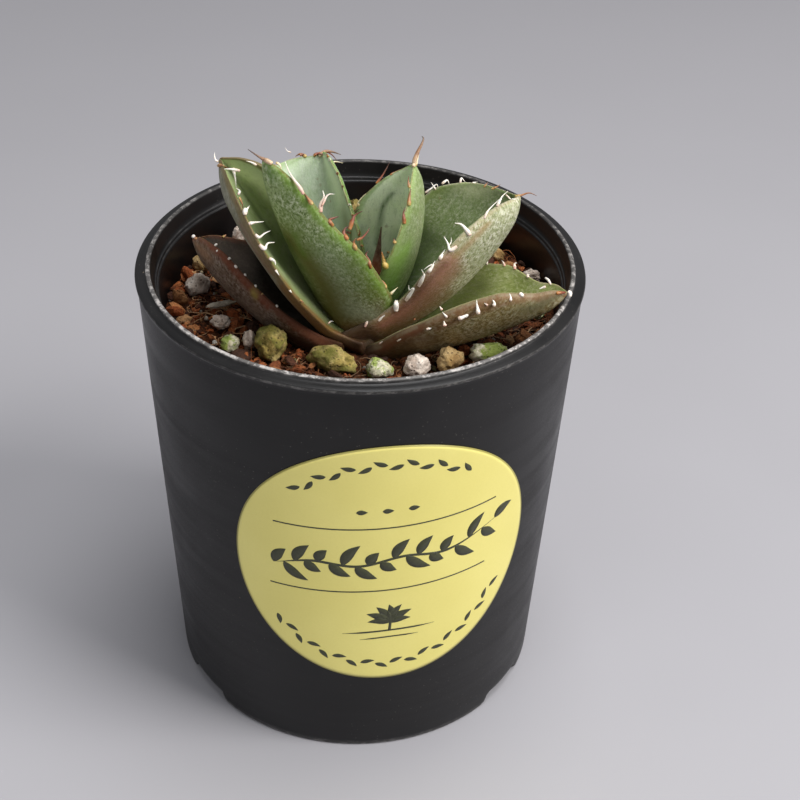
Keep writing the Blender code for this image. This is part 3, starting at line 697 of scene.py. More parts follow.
def leaf_frame(leaf, t):
    """Middle line, axes and half width of a leaf at the stations t."""
    start, sheath, narrow, low_rise, low_azimuth = leaf["sheath"]
    end = -sheath / leaf["length"]
    held = np.clip(t, start, None)
    bend = np.clip((start - t) / (start - end), 0, 1)
    rise = leaf["rise"][0] + (leaf["rise"][1] - leaf["rise"][0]) * held
    head = leaf["azimuth"][0] + leaf["azimuth"][1] * held
    rise = np.radians(rise + (low_rise - rise) * bend)
    head = np.radians(head + (low_azimuth - head) * bend)
    along = np.stack([np.cos(rise) * np.cos(head), np.cos(rise) * np.sin(head), np.sin(rise)], 1)
    up = np.stack([-np.sin(rise) * np.cos(head), -np.sin(rise) * np.sin(head), np.cos(rise)], 1)
    side = np.cross(up, along)
    steps = leaf["length"] * np.diff(t)[:, None] * (along[1:] + along[:-1]) / 2
    middle = np.concatenate([np.zeros((1, 3)), np.cumsum(steps, axis=0)])
    at_start = np.array([np.interp(start, t, middle[:, k]) for k in range(3)])
    middle += np.array(leaf["base"]) - at_start
    blade = np.clip(t, 0, None)
    roll = np.radians(leaf["twist"][0] + leaf["twist"][1] * blade)[:, None]
    up, side = up * np.cos(roll) + side * np.sin(roll), side * np.cos(roll) - up * np.sin(roll)
    shares = list(leaf["outline"]) + [leaf["outline"][-1] * 0.55, 0.03]
    half = leaf["width"] * smooth_curve(list(STATIONS) + [0.96, 1.0], shares, blade)
    half *= 1 - (1 - narrow) * np.clip(t / end, 0, 1)
    return middle, along, up, side, half


def leaf_sheets(leaf, t, s):
    """Inner and outer face as grids of points, a row for each t and a column for each s from -1 to 1."""
    middle, along, up, side, half = leaf_frame(leaf, t)
    left = s < 0
    blade = np.clip(t, 0, None)
    fold_left = leaf["fold"][0] + leaf["opening"][0] * blade
    fold_right = leaf["fold"][1] + leaf["opening"][1] * blade
    fold = np.radians(np.where(left[None, :], fold_left[:, None], fold_right[:, None]))
    a = np.abs(s)[None, :]
    reach = half[:, None] * np.where(left, leaf["side"][0], leaf["side"][1])[None, :]
    out = np.sign(s)[None, :] * a * np.cos(fold) * reach
    lift = a ** leaf["bowl"] * np.sin(fold) * reach
    inner = middle[:, None, :] + out[..., None] * side[:, None, :] + lift[..., None] * up[:, None, :]
    lean = np.tan(fold) * leaf["bowl"] * a ** (leaf["bowl"] - 1) * np.sign(s)[None, :]
    size = np.sqrt(1 + lean ** 2)
    normal = (-lean / size)[..., None] * side[:, None, :] + (1 / size)[..., None] * up[:, None, :]
    thick = (leaf["thick"][0] * (1 - blade) + leaf["thick"][1] * blade)[:, None]
    thick = thick * (0.16 + 0.84 * np.sqrt(np.clip(1 - a ** 2, 0, 1)))
    thick = thick * (1 - 0.75 * np.clip((t - 0.85) / 0.15, 0, 1) ** 2)[:, None]
    return inner, inner - normal * thick[..., None]


def margin(inner, outer, side):
    """The line between the faces along one margin, -1 left or 1 right, and the way out of the leaf there."""
    column, beside = (0, 1) if side < 0 else (-1, -2)
    return (inner[:, column] + outer[:, column]) / 2, unit(inner[:, column] - inner[:, beside])


def leaf_material(name, look):
    """Waxy leaf skin. Attributes give the place on the leaf: skin = (s, t, outer side)."""
    shade = Shade(name, 0.5, look["gloss"])
    skin = shade.attribute("skin", "Vector")
    flat = shade.attribute("flat_mm", "Vector")
    t = shade.axis(skin, 1)
    edge = shade.attribute("edge_mm")
    seed = look["seed"]
    long_way = shade.place((1.0, 0.13, 1.0), (seed, 0.0, 0.0), flat)
    plain = shade.place((1.0, 1.0, 1.0), (seed, seed, 0.0), flat)
    stretched = shade.place((1.0, 0.62, 1.0), (seed, seed, 0.0), flat)
    streaks = shade.noise(0.75, long_way, 5.0, 0.6)
    veins = shade.noise(2.4, long_way, 3.0, 0.6)
    cloud = shade.noise(0.15, plain, 4.0, 0.5)
    patches = shade.noise(0.42, plain, 4.0, 0.6, 0.6)
    grains = shade.noise(1.75, stretched, 5.0, 0.82)
    pores = shade.cells(2.2, stretched)

    inner = shade.over(look["inner"], look["inner_2"], cloud, 0.38, 0.62)
    inner = shade.over(inner, look["bloom"], streaks, 0.45, 0.68, look["inner_streak"])
    inner = shade.over(inner, look["inner_veins_and_base_shade"], veins, 0.50, 0.72, 0.22)
    # painted shade: the inner face darkens towards the leaf's foot, deep in the rosette
    inner = shade.over(inner, look["inner_veins_and_base_shade"], t, 0.50, 0.02, 0.92)
    frost = shade.times(shade.step(grains, 0.46, 0.62), shade.step(patches, 0.34, 0.62, look["frost"]))
    inner = shade.mix(frost, inner, look["bloom"])
    inner = shade.over(inner, look["inner_veins_and_base_shade"], grains, 0.47, 0.33, 0.36)
    in_edge = shade.plus(edge, shade.around(patches, 2.2))
    inner = shade.over(inner, look["inner_edge"], in_edge, 1.5, 0.3, look["inner_edge_amount"])

    back = shade.over(look["outer"], look["outer_2"], cloud, 0.38, 0.62)
    back = shade.over(back, look["patch"], patches, 0.52, 0.72, 0.45)
    base = shade.plus(t, shade.around(streaks, 0.40))
    back = shade.over(back, look["outer_base"], base, look["base_t"], look["base_t"] * 0.15, 0.95)
    wax = shade.times(shade.step(grains, 0.46, 0.58), shade.step(patches, 0.32, 0.60, (0.25, 1.0)))
    wax = shade.times(wax, shade.step(base, 0.0, 0.40, (look["wax_at_base"], look["bloom_outer"])))
    back = shade.mix(wax, back, look["bloom"])
    back = shade.over(back, look["dark"], grains, 0.48, 0.36, 0.66)
    pitted = shade.times(shade.step(pores, 0.34, 0.14), shade.step(grains, 0.60, 0.42))
    back = shade.mix(shade.times(pitted, look["speckle"]), back, look["dark"])
    band = shade.plus(edge, shade.around(patches, look["band_mm"] * 1.3))
    back = shade.over(back, look["band"], band, look["band_mm"], look["band_mm"] * 0.25, look["band_amount"])

    tone = shade.mix(shade.axis(skin, 2), inner, back)
    rust = shade.step(shade.cells(0.32, plain), 0.16, 0.08)
    tone = shade.mix(shade.times(rust, shade.step(cloud, 0.50, 0.60, (0.0, 0.5))), tone, (0.20, 0.085, 0.025))
    # marks, painted light and painted shade, laid on point by point when the leaf is made
    painted = shade.times(shade.attribute("paint", "Alpha"), shade.step(grains, 0.20, 0.60, (0.55, 1.0)))
    tone = shade.mix(painted, tone, shade.attribute("paint", "Color"))
    # the horny edge
    line = shade.step(shade.plus(edge, shade.around(grains, 0.4)), look["edge_mm"], look["edge_mm"] * 0.3,
                      (0.0, look["edge_amount"]))
    tone = shade.mix(shade.times(line, shade.step(patches, 0.40, 0.58, (0.15, 1.0))), tone, look["edge"])
    # soil stain on the part that wraps the stem
    tone = shade.over(tone, (0.040, 0.018, 0.009), shade.plus(t, shade.times(grains, 0.05)), 0.05, -0.06, 0.9)
    shade.set("Base Color", tone)
    shade.set("Roughness", shade.step(grains, 0.25, 0.75, (0.40, 0.58)))
    fine = shade.plus(grains, shade.times(pores, 0.6))
    shade.set("Normal", shade.bump(fine, 0.09, 0.7, shade.bump(streaks, 0.12, 0.35)))
    shade.glow_within(0.12, (0.6, 1.0, 0.35), 0.0012)
    return shade.mat


# Looks that a leaf has unless it names its own.
BASE_LOOK = dict(
    gloss=0.22, frost=(0.12, 0.34), inner=(0.16, 0.25, 0.095), inner_2=(0.20, 0.30, 0.14),
    inner_veins_and_base_shade=(0.045, 0.075, 0.016), inner_streak=0.12, inner_edge=(0.20, 0.27, 0.06), inner_edge_amount=0.5,
    bloom=(0.36, 0.42, 0.30), bloom_outer=0.6, wax_at_base=0.25, outer=(0.13, 0.21, 0.07),
    outer_2=(0.17, 0.25, 0.10), patch=(0.13, 0.20, 0.05), outer_base=(0.105, 0.080, 0.018), base_t=0.4,
    speckle=0.5, dark=(0.045, 0.065, 0.022), band=(0.19, 0.34, 0.045), band_mm=1.6, band_amount=0.5,
    edge=(0.20, 0.13, 0.05), edge_mm=0.28, edge_amount=0.6)

LOOKS = {
    "leaf_upright_right": dict(
        # inner and inner_2 are the leaf's blue-green raised far with painted light, for an inner face that lies in
        # shade
        seed=3.0, frost=(0.0, 0.15), inner=(0.76, 0.86, 0.60), inner_2=(0.82, 0.90, 0.70),
        inner_veins_and_base_shade=(0.070, 0.15, 0.050), inner_streak=0.10, inner_edge=(0.22, 0.36, 0.10),
        outer=(0.20, 0.26, 0.095), outer_2=(0.25, 0.29, 0.14),
        patch=(0.24, 0.33, 0.12), bloom=(0.48, 0.53, 0.38), bloom_outer=0.48, wax_at_base=0.5, speckle=0.25,
        dark=(0.12, 0.18, 0.07), outer_base=(0.15, 0.25, 0.05), band=(0.24, 0.34, 0.10), band_mm=2.6,
        band_amount=0.55),
    "leaf_front_left": dict(
        seed=9.0, inner=(0.17, 0.27, 0.10), outer=(0.18, 0.26, 0.075), outer_2=(0.24, 0.32, 0.12),
        patch=(0.11, 0.17, 0.035), outer_base=(0.105, 0.080, 0.016), base_t=0.56, band=(0.16, 0.27, 0.035),
        band_mm=2.2, band_amount=0.6, bloom=(0.60, 0.65, 0.46), bloom_outer=0.76),
    "leaf_back_left": dict(
        seed=15.0, inner=(0.40, 0.50, 0.31), inner_2=(0.47, 0.56, 0.40), inner_streak=0.28,
        bloom=(0.66, 0.70, 0.60), inner_veins_and_base_shade=(0.22, 0.32, 0.17), inner_edge=(0.26, 0.34, 0.14),
        inner_edge_amount=0.4),
    "leaf_right": dict(
        seed=22.0, inner=(0.155, 0.21, 0.070), inner_2=(0.21, 0.27, 0.11), inner_veins_and_base_shade=(0.035, 0.085, 0.014),
        outer=(0.30, 0.32, 0.165), outer_2=(0.36, 0.37, 0.22), patch=(0.27, 0.27, 0.12),
        bloom=(0.74, 0.72, 0.60), bloom_outer=0.75, wax_at_base=0.22, speckle=0.85, dark=(0.085, 0.10, 0.045),
        outer_base=(0.21, 0.092, 0.023), base_t=0.70, band=(0.30, 0.24, 0.12), band_mm=1.2, band_amount=0.5,
        edge=(0.36, 0.33, 0.24), edge_mm=0.3),
    "leaf_left": dict(
        # inner and inner_2 are the leaf's green raised with painted light, for an inner face that lies in another
        # leaf's shadow
        seed=31.0, inner=(0.34, 0.43, 0.17), inner_2=(0.43, 0.51, 0.26), inner_veins_and_base_shade=(0.055, 0.070, 0.012),
        inner_edge=(0.13, 0.095, 0.022), inner_edge_amount=0.85, outer=(0.19, 0.185, 0.115),
        outer_2=(0.25, 0.24, 0.165), patch=(0.17, 0.145, 0.08), bloom=(0.42, 0.41, 0.33), bloom_outer=0.5,
        outer_base=(0.11, 0.050, 0.014), base_t=0.5, band=(0.17, 0.125, 0.050), band_mm=2.0, band_amount=0.75,
        edge=(0.15, 0.090, 0.045), edge_mm=0.4, edge_amount=0.5),
    "leaf_low_right": dict(
        seed=43.0, inner=(0.17, 0.205, 0.048), inner_2=(0.22, 0.255, 0.075), inner_veins_and_base_shade=(0.045, 0.070, 0.016),
        inner_edge=(0.24, 0.26, 0.10), outer=(0.215, 0.148, 0.046), outer_2=(0.24, 0.18, 0.072),
        patch=(0.11, 0.085, 0.030), bloom=(0.60, 0.58, 0.41), bloom_outer=0.48, wax_at_base=0.12,
        outer_base=(0.085, 0.042, 0.018), base_t=0.40, speckle=0.6, dark=(0.035, 0.030, 0.014),
        band=(0.19, 0.085, 0.042), band_mm=1.7, band_amount=0.7, edge=(0.28, 0.24, 0.15), edge_mm=0.4),
    "leaf_low_left": dict(
        seed=57.0, gloss=0.07, frost=(0.01, 0.03), inner=(0.016, 0.011, 0.007), inner_2=(0.024, 0.016, 0.010),
        inner_streak=0.01, inner_veins_and_base_shade=(0.016, 0.011, 0.007), inner_edge=(0.055, 0.018, 0.008),
        outer=(0.13, 0.080, 0.052),
        outer_2=(0.18, 0.120, 0.085), patch=(0.065, 0.034, 0.020), bloom=(0.42, 0.35, 0.29), bloom_outer=0.45,
        wax_at_base=0.12, outer_base=(0.060, 0.026, 0.012), base_t=0.4, dark=(0.024, 0.014, 0.009),
        band=(0.125, 0.036, 0.016), band_mm=1.3, band_amount=0.6, edge=(0.13, 0.050, 0.028), edge_mm=0.4),
}

# Teeth of each leaf margin (-1 left, 1 right): station, look, radius, then points in mm to the right of the
# margin and up from it, in the plane of RIGHT and RISING.
TEETH = {
    ("leaf_front_left", 1): (
        (0.98, "cream", 0.35, (0.25, 0.5), (1.0, 0.0), (1.25, -0.75)),
        (0.97, "pearl", 0.45, (4.5, -4.5), (3.75, -3.25), (2.75, -2.0), (1.75, -0.5), (1.0, 1.25)),
        (0.85, "amber", 0.55, (1.5, -2.0), (0.75, -1.0), (0.0, 0.0)),
        (0.75, "pearl", 0.55, (0.0, 0.0), (0.0, 1.5), (0.5, 2.75), (0.25, 4.0)),
        (0.77, "pearl", 0.30, (0.75, 0.5), (1.75, 2.5), (3.0, 2.75)),
        (0.67, "red", 0.50, (0.0, 0.0), (-0.75, 1.0), (0.25, 1.5), (1.0, 1.75)),
        (0.59, "red", 0.60, (0.0, 0.0), (-0.75, 1.0), (-0.5, 2.0), (0.5, 2.5)),
        (0.61, "red", 0.55, (1.0, 1.25), (1.5, 3.0), (2.0, 4.0), (3.25, 4.75)),
        (0.53, "amber", 0.55, (-0.25, -0.25), (-0.75, 1.0), (-0.25, 2.0)),
        (0.56, "red", 0.35, (0.75, 0.75), (1.75, 1.25), (2.75, 2.5), (3.0, 3.25)),
        (0.40, "red", 0.45, (-0.25, -0.25), (-0.75, 1.25), (-1.25, 2.25), (-0.75, 3.0)),
        (0.24, "amber", 0.45, (0.0, 0.0), (-0.5, 1.0), (-1.25, 1.75)),
        (0.19, "cream", 0.35, (0.0, 0.0), (0.75, 0.75), (1.5, 1.5)),
    ),
    ("leaf_upright_right", -1): (
        (0.37, "gold", 0.80, (0.5, -0.25), (0.0, 1.25), (-0.5, 3.0)),
        (0.60, "amber", 0.50, (0.0, 0.0), (-0.25, 1.0)),
        (0.76, "red", 0.50, (0.5, -0.25), (0.25, 1.5), (0.5, 3.0)),
        (0.86, "amber", 0.55, (0.5, 0.0), (0.5, 1.5), (0.75, 3.25)),
        (0.94, "amber", 0.40, (0.0, 0.0), (-0.25, 1.0), (-0.25, 2.25)),
    ),
    ("leaf_upright_right", 1): (
        (0.88, "red", 0.35, (0.0, 0.25), (0.75, 1.25), (1.5, 2.5), (2.5, 4.5)),
        (0.95, "red", 0.22, (0.0, 0.0), (1.25, 0.75), (2.5, 1.25)),
        (0.67, "cream", 0.40, (0.0, 0.0), (0.5, 1.25), (1.5, 2.5)),
        (0.50, "red", 0.40, (-0.25, 0.0), (0.25, 1.25), (1.5, 2.25)),
    ),
    ("leaf_right", -1): (
        (0.89, "bone", 0.30, (0.25, -0.5), (0.75, 0.75), (1.75, 2.0), (3.5, 3.75)),
        (0.95, "bone", 0.40, (0.0, 0.0), (0.5, 1.0), (1.0, 2.0), (2.0, 3.0)),
        (0.79, "bone", 0.60, (0.75, -1.0), (0.0, 0.0), (-1.0, 1.0), (-2.25, 1.25)),
        (0.68, "bone", 0.50, (0.75, -0.5), (-0.5, -1.25), (-1.0, 0.0), (-1.75, 1.25)),
        (0.65, "bone", 0.20, (-0.25, 0.25), (0.25, 1.0), (0.25, 2.0)),
        (0.56, "bone", 0.50, (0.0, -0.25), (0.5, 0.75), (1.0, 1.75)),
        (0.44, "bone", 0.50, (0.25, -0.25), (1.0, 0.75), (1.5, 2.0)),
        (0.50, "bone", 0.25, (0.0, 0.0), (-0.75, -0.25), (-1.75, -1.0)),
        (0.33, "bone", 0.50, (0.5, -0.5), (1.25, 1.0), (1.5, 1.75), (1.0, 2.75)),
        (0.20, "bone", 0.50, (0.5, -0.5), (1.25, 0.5), (2.0, 1.75), (1.25, 1.5), (1.0, 2.5)),
        (0.12, "bead", 0.65, (0.75, -1.0), (0.75, 0.0), (0.75, 1.25)),
        (0.00, "bone", 0.35, (0.5, -0.75), (1.5, 0.25), (2.75, 1.0)),
        (-0.07, "pearl", 0.35, (0.25, -0.75), (0.75, 0.75), (0.5, 1.5)),
    ),
    ("leaf_right", 1): (
        (0.66, "bone", 0.30, (-0.25, 0.5), (0.75, 1.25), (2.0, 2.25), (2.25, 1.25)),
        (0.74, "bone", 0.25, (0.0, -0.25), (-0.5, 0.5), (-1.0, 1.25)),
        (0.78, "bone", 0.35, (0.0, 0.5), (1.0, 1.25), (1.5, 0.5)),
        (0.87, "bone", 0.30, (0.0, 0.0), (0.25, 1.0), (1.0, 0.25)),
        (0.92, "bone", 0.25, (0.0, 0.0), (1.0, 0.25)),
        (0.95, "amber", 0.30, (0.0, -0.5), (0.75, 0.5)),
        (0.97, "amber", 0.30, (-0.25, -0.5), (0.75, 0.0), (1.5, 0.5)),
    ),
    ("leaf_left", 1): (
        (0.97, "bone", 0.40, (2.5, 0.75), (0.75, 1.0), (-0.5, 1.0)),
        (0.98, "bone", 0.40, (1.5, 0.5), (1.75, -0.5), (2.0, -1.75), (2.25, -3.25)),
        (0.91, "bone", 0.35, (0.5, 0.25), (0.75, 1.0), (0.0, 1.5)),
        (0.90, "amber", 0.30, (0.5, 0.25), (1.0, -0.75), (1.25, -1.75)),
        (0.84, "bead", 0.60, (0.25, -0.25), (0.25, 0.5), (0.5, 1.0)),
        (0.84, "bone", 0.25, (0.5, 0.75), (1.0, 1.5)),
        (0.80, "bone", 0.45, (0.0, 0.0), (1.0, 0.25), (2.75, 0.5)),
        (0.75, "bone", 0.40, (0.25, 0.0), (1.0, -0.5), (2.0, 0.25), (3.0, 0.75)),
        (0.70, "bone", 0.50, (0.0, 0.0), (1.0, -0.75), (1.5, 0.25), (2.75, 0.5)),
        (0.62, "bone", 0.40, (0.25, 0.0), (1.25, -0.5), (1.5, -1.25)),
        (0.55, "bone", 0.30, (0.0, 0.0), (0.75, -1.0)),
        (0.42, "bone", 0.30, (0.0, 0.0), (0.5, -0.5)),
        (0.34, "amber", 0.30, (0.25, 0.25), (1.0, -0.25)),
        (0.12, "pearl", 0.20, (0.5, 0.75), (1.0, 1.25), (1.5, 1.25)),
    ),
    ("leaf_left", -1): (
        (0.91, "bone", 0.30, (0.0, -0.25), (-1.0, 0.25), (-2.0, 0.5)),
    ),
    ("leaf_low_right", -1): (
        (0.92, "bone", 0.35, (0.0, 1.0), (-1.25, 0.5)),
        (0.82, "bead", 0.50, (0.0, -0.5), (-0.75, 0.0)),
        (0.77, "bone", 0.40, (0.0, -1.5), (0.0, -0.75), (-0.25, 0.0)),
        (0.68, "bone", 0.45, (0.5, -2.0), (0.5, -1.25), (0.0, -0.5)),
        (0.65, "pearl", 0.25, (0.5, -1.5), (-0.25, -1.0)),
        (0.59, "bone", 0.55, (0.75, -2.5), (0.5, -1.25), (0.25, 0.25)),
        (0.48, "bone", 0.55, (0.75, -2.0), (1.5, -1.75), (2.5, -1.25), (2.25, -1.75)),
        (0.42, "bone", 0.35, (0.5, -1.0), (0.0, -0.5), (-0.5, 0.0)),
        (0.39, "pearl", 0.50, (1.0, -2.25), (0.75, -1.25)),
        (0.41, "pearl", 0.35, (-0.25, 0.5), (-0.75, 1.25)),
        (0.29, "bone", 0.35, (0.5, -1.5), (1.5, -1.0), (1.75, 0.0)),
        (0.11, "bone", 0.35, (0.5, -1.25), (1.75, -0.5), (2.5, 0.25)),
        (0.00, "pearl", 0.25, (0.0, -0.25), (1.0, 0.5)),
        (0.24, "red", 0.35, (-0.25, 1.0), (-0.5, 1.25)),
    ),
    ("leaf_low_left", 1): (
        (0.84, "bead", 0.35, (0.0, 0.0), (0.5, 0.5)),
        (0.82, "bead", 0.30, (0.0, -0.75), (0.25, -0.5)),
        (0.70, "bead", 0.35, (-0.25, 0.0), (0.25, 0.25)),
        (0.65, "bead", 0.35, (0.0, 0.0), (0.5, -0.5)),
        (0.57, "bead", 0.30, (0.25, 0.25), (0.5, -0.25)),
        (0.48, "bead", 0.30, (0.25, 0.25), (0.5, -0.25)),
        (0.41, "amber", 0.30, (0.0, 0.0), (0.5, -0.25)),
        (0.31, "bead", 0.30, (0.25, 0.25), (0.5, -0.25)),
    ),
    ("leaf_back_left", 1): (
        (0.98, "amber", 0.50, (0.25, 0.0), (-1.0, 0.5), (-2.0, 0.0)),
        (0.96, "bone", 0.22, (-0.5, 1.25), (-1.25, 1.5), (-1.75, 2.25)),
        (0.97, "red", 0.45, (0.0, 0.5), (1.0, 0.75)),
        (0.99, "red", 0.45, (0.0, 0.0), (0.75, 0.5), (2.0, 0.25)),
        (0.90, "amber", 0.35, (0.0, 0.0), (-0.75, 0.5)),
    ),
}

# End spines, measured from the tip of the leaf in the same plane.
SPINES = {
    "leaf_front_left": (
        ("spine", 0.60, (1.5, -0.75), (0.0, 0.0), (-1.0, 0.5), (-3.0, 1.75)),
    ),
    "leaf_upright_right": (
        ("spine", 0.60, (0.0, -0.5), (0.25, 1.0), (0.75, 2.5), (1.45, 4.0), (1.75, 5.1), (1.40, 5.5)),
        ("cream", 0.25, (0.5, -0.25), (0.75, 1.0), (1.0, 2.0)),
    ),
    "leaf_back_left": (
        ("spine", 0.60, (-0.5, -0.25), (0.75, 0.75), (2.25, 0.75), (4.0, 0.25)),
        ("red", 0.40, (0.0, 0.0), (0.75, 0.75), (2.0, 0.25), (3.25, -1.0)),
        ("amber", 0.40, (-1.5, 0.0), (0.0, 0.5), (1.25, 0.5)),
        ("pearl", 0.45, (0.25, 0.0), (0.75, 0.5)),
        ("cream", 0.25, (2.0, -1.5), (3.0, -1.25), (4.5, -1.5)),
    ),
    "leaf_right": (
        ("amber", 0.35, (-0.75, 0.0), (0.5, 0.25), (2.0, 0.75), (3.5, 0.25)),
        ("bone", 0.22, (-2.5, 0.25), (-1.25, -0.75), (0.0, -0.5)),
    ),
    "leaf_left": (
        ("bone", 0.30, (-0.5, -0.5), (-1.0, -0.25), (-1.25, 0.5), (-1.25, 1.25)),
        ("amber", 0.45, (-0.5, -1.25), (0.5, -1.5), (1.5, -1.5)),
    ),
    "leaf_low_right": (
        ("red", 0.45, (-2.0, -0.25), (-0.5, 0.0), (0.5, 0.0)),
        ("bead", 0.50, (0.25, 0.25), (0.75, 0.0), (0.75, -0.75)),
    ),
    "leaf_low_left": (
        ("red", 0.45, (1.0, -0.25), (0.25, 0.25)),
        ("bead", 0.50, (0.25, 0.25), (-0.25, 0.75)),
    ),
}

# Stretches of margin that carry more teeth of the same kinds: side, from, to, count, looks.
MORE_TEETH = {
    "leaf_front_left": ((-1, 0.30, 0.95, 9, ("red", "amber", "bone")),),
    "leaf_upright_right": ((1, 0.10, 0.45, 3, ("red", "cream")),),
    "leaf_back_left": ((-1, 0.25, 0.95, 8, ("bone", "amber", "red")), (1, 0.20, 0.85, 7, ("bone", "amber"))),
    "leaf_right": ((1, 0.15, 0.60, 5, ("bone", "bone", "amber")),),
    "leaf_left": ((-1, 0.30, 0.85, 7, ("bone", "amber")),),
    "leaf_low_right": ((1, 0.25, 0.95, 9, ("bone", "bead", "pearl")),),
    "leaf_low_left": ((-1, 0.20, 0.95, 9, ("bead", "bone", "amber")),),
}

TOOTH_FATNESS = 0.8
# Colours of a tooth at its root, its middle and its point.
TOOTH_LOOKS = {
    "bone": ((0.62, 0.46, 0.36), (0.88, 0.83, 0.76), (0.86, 0.80, 0.70)),
    "bead": ((0.66, 0.52, 0.44), (0.90, 0.85, 0.79), (0.84, 0.76, 0.68)),
    "pearl": ((0.62, 0.34, 0.26), (0.80, 0.64, 0.55), (0.82, 0.78, 0.70)),
    "cream": ((0.56, 0.38, 0.14), (0.84, 0.76, 0.52), (0.78, 0.62, 0.36)),
    "gold": ((0.48, 0.38, 0.08), (0.56, 0.36, 0.07), (0.44, 0.13, 0.03)),
    "amber": ((0.50, 0.36, 0.11), (0.32, 0.13, 0.040), (0.11, 0.034, 0.014)),
    "red": ((0.42, 0.17, 0.04), (0.20, 0.042, 0.018), (0.045, 0.012, 0.008)),
    "spine": ((0.70, 0.52, 0.33), (0.28, 0.145, 0.075), (0.045, 0.036, 0.033)),
}
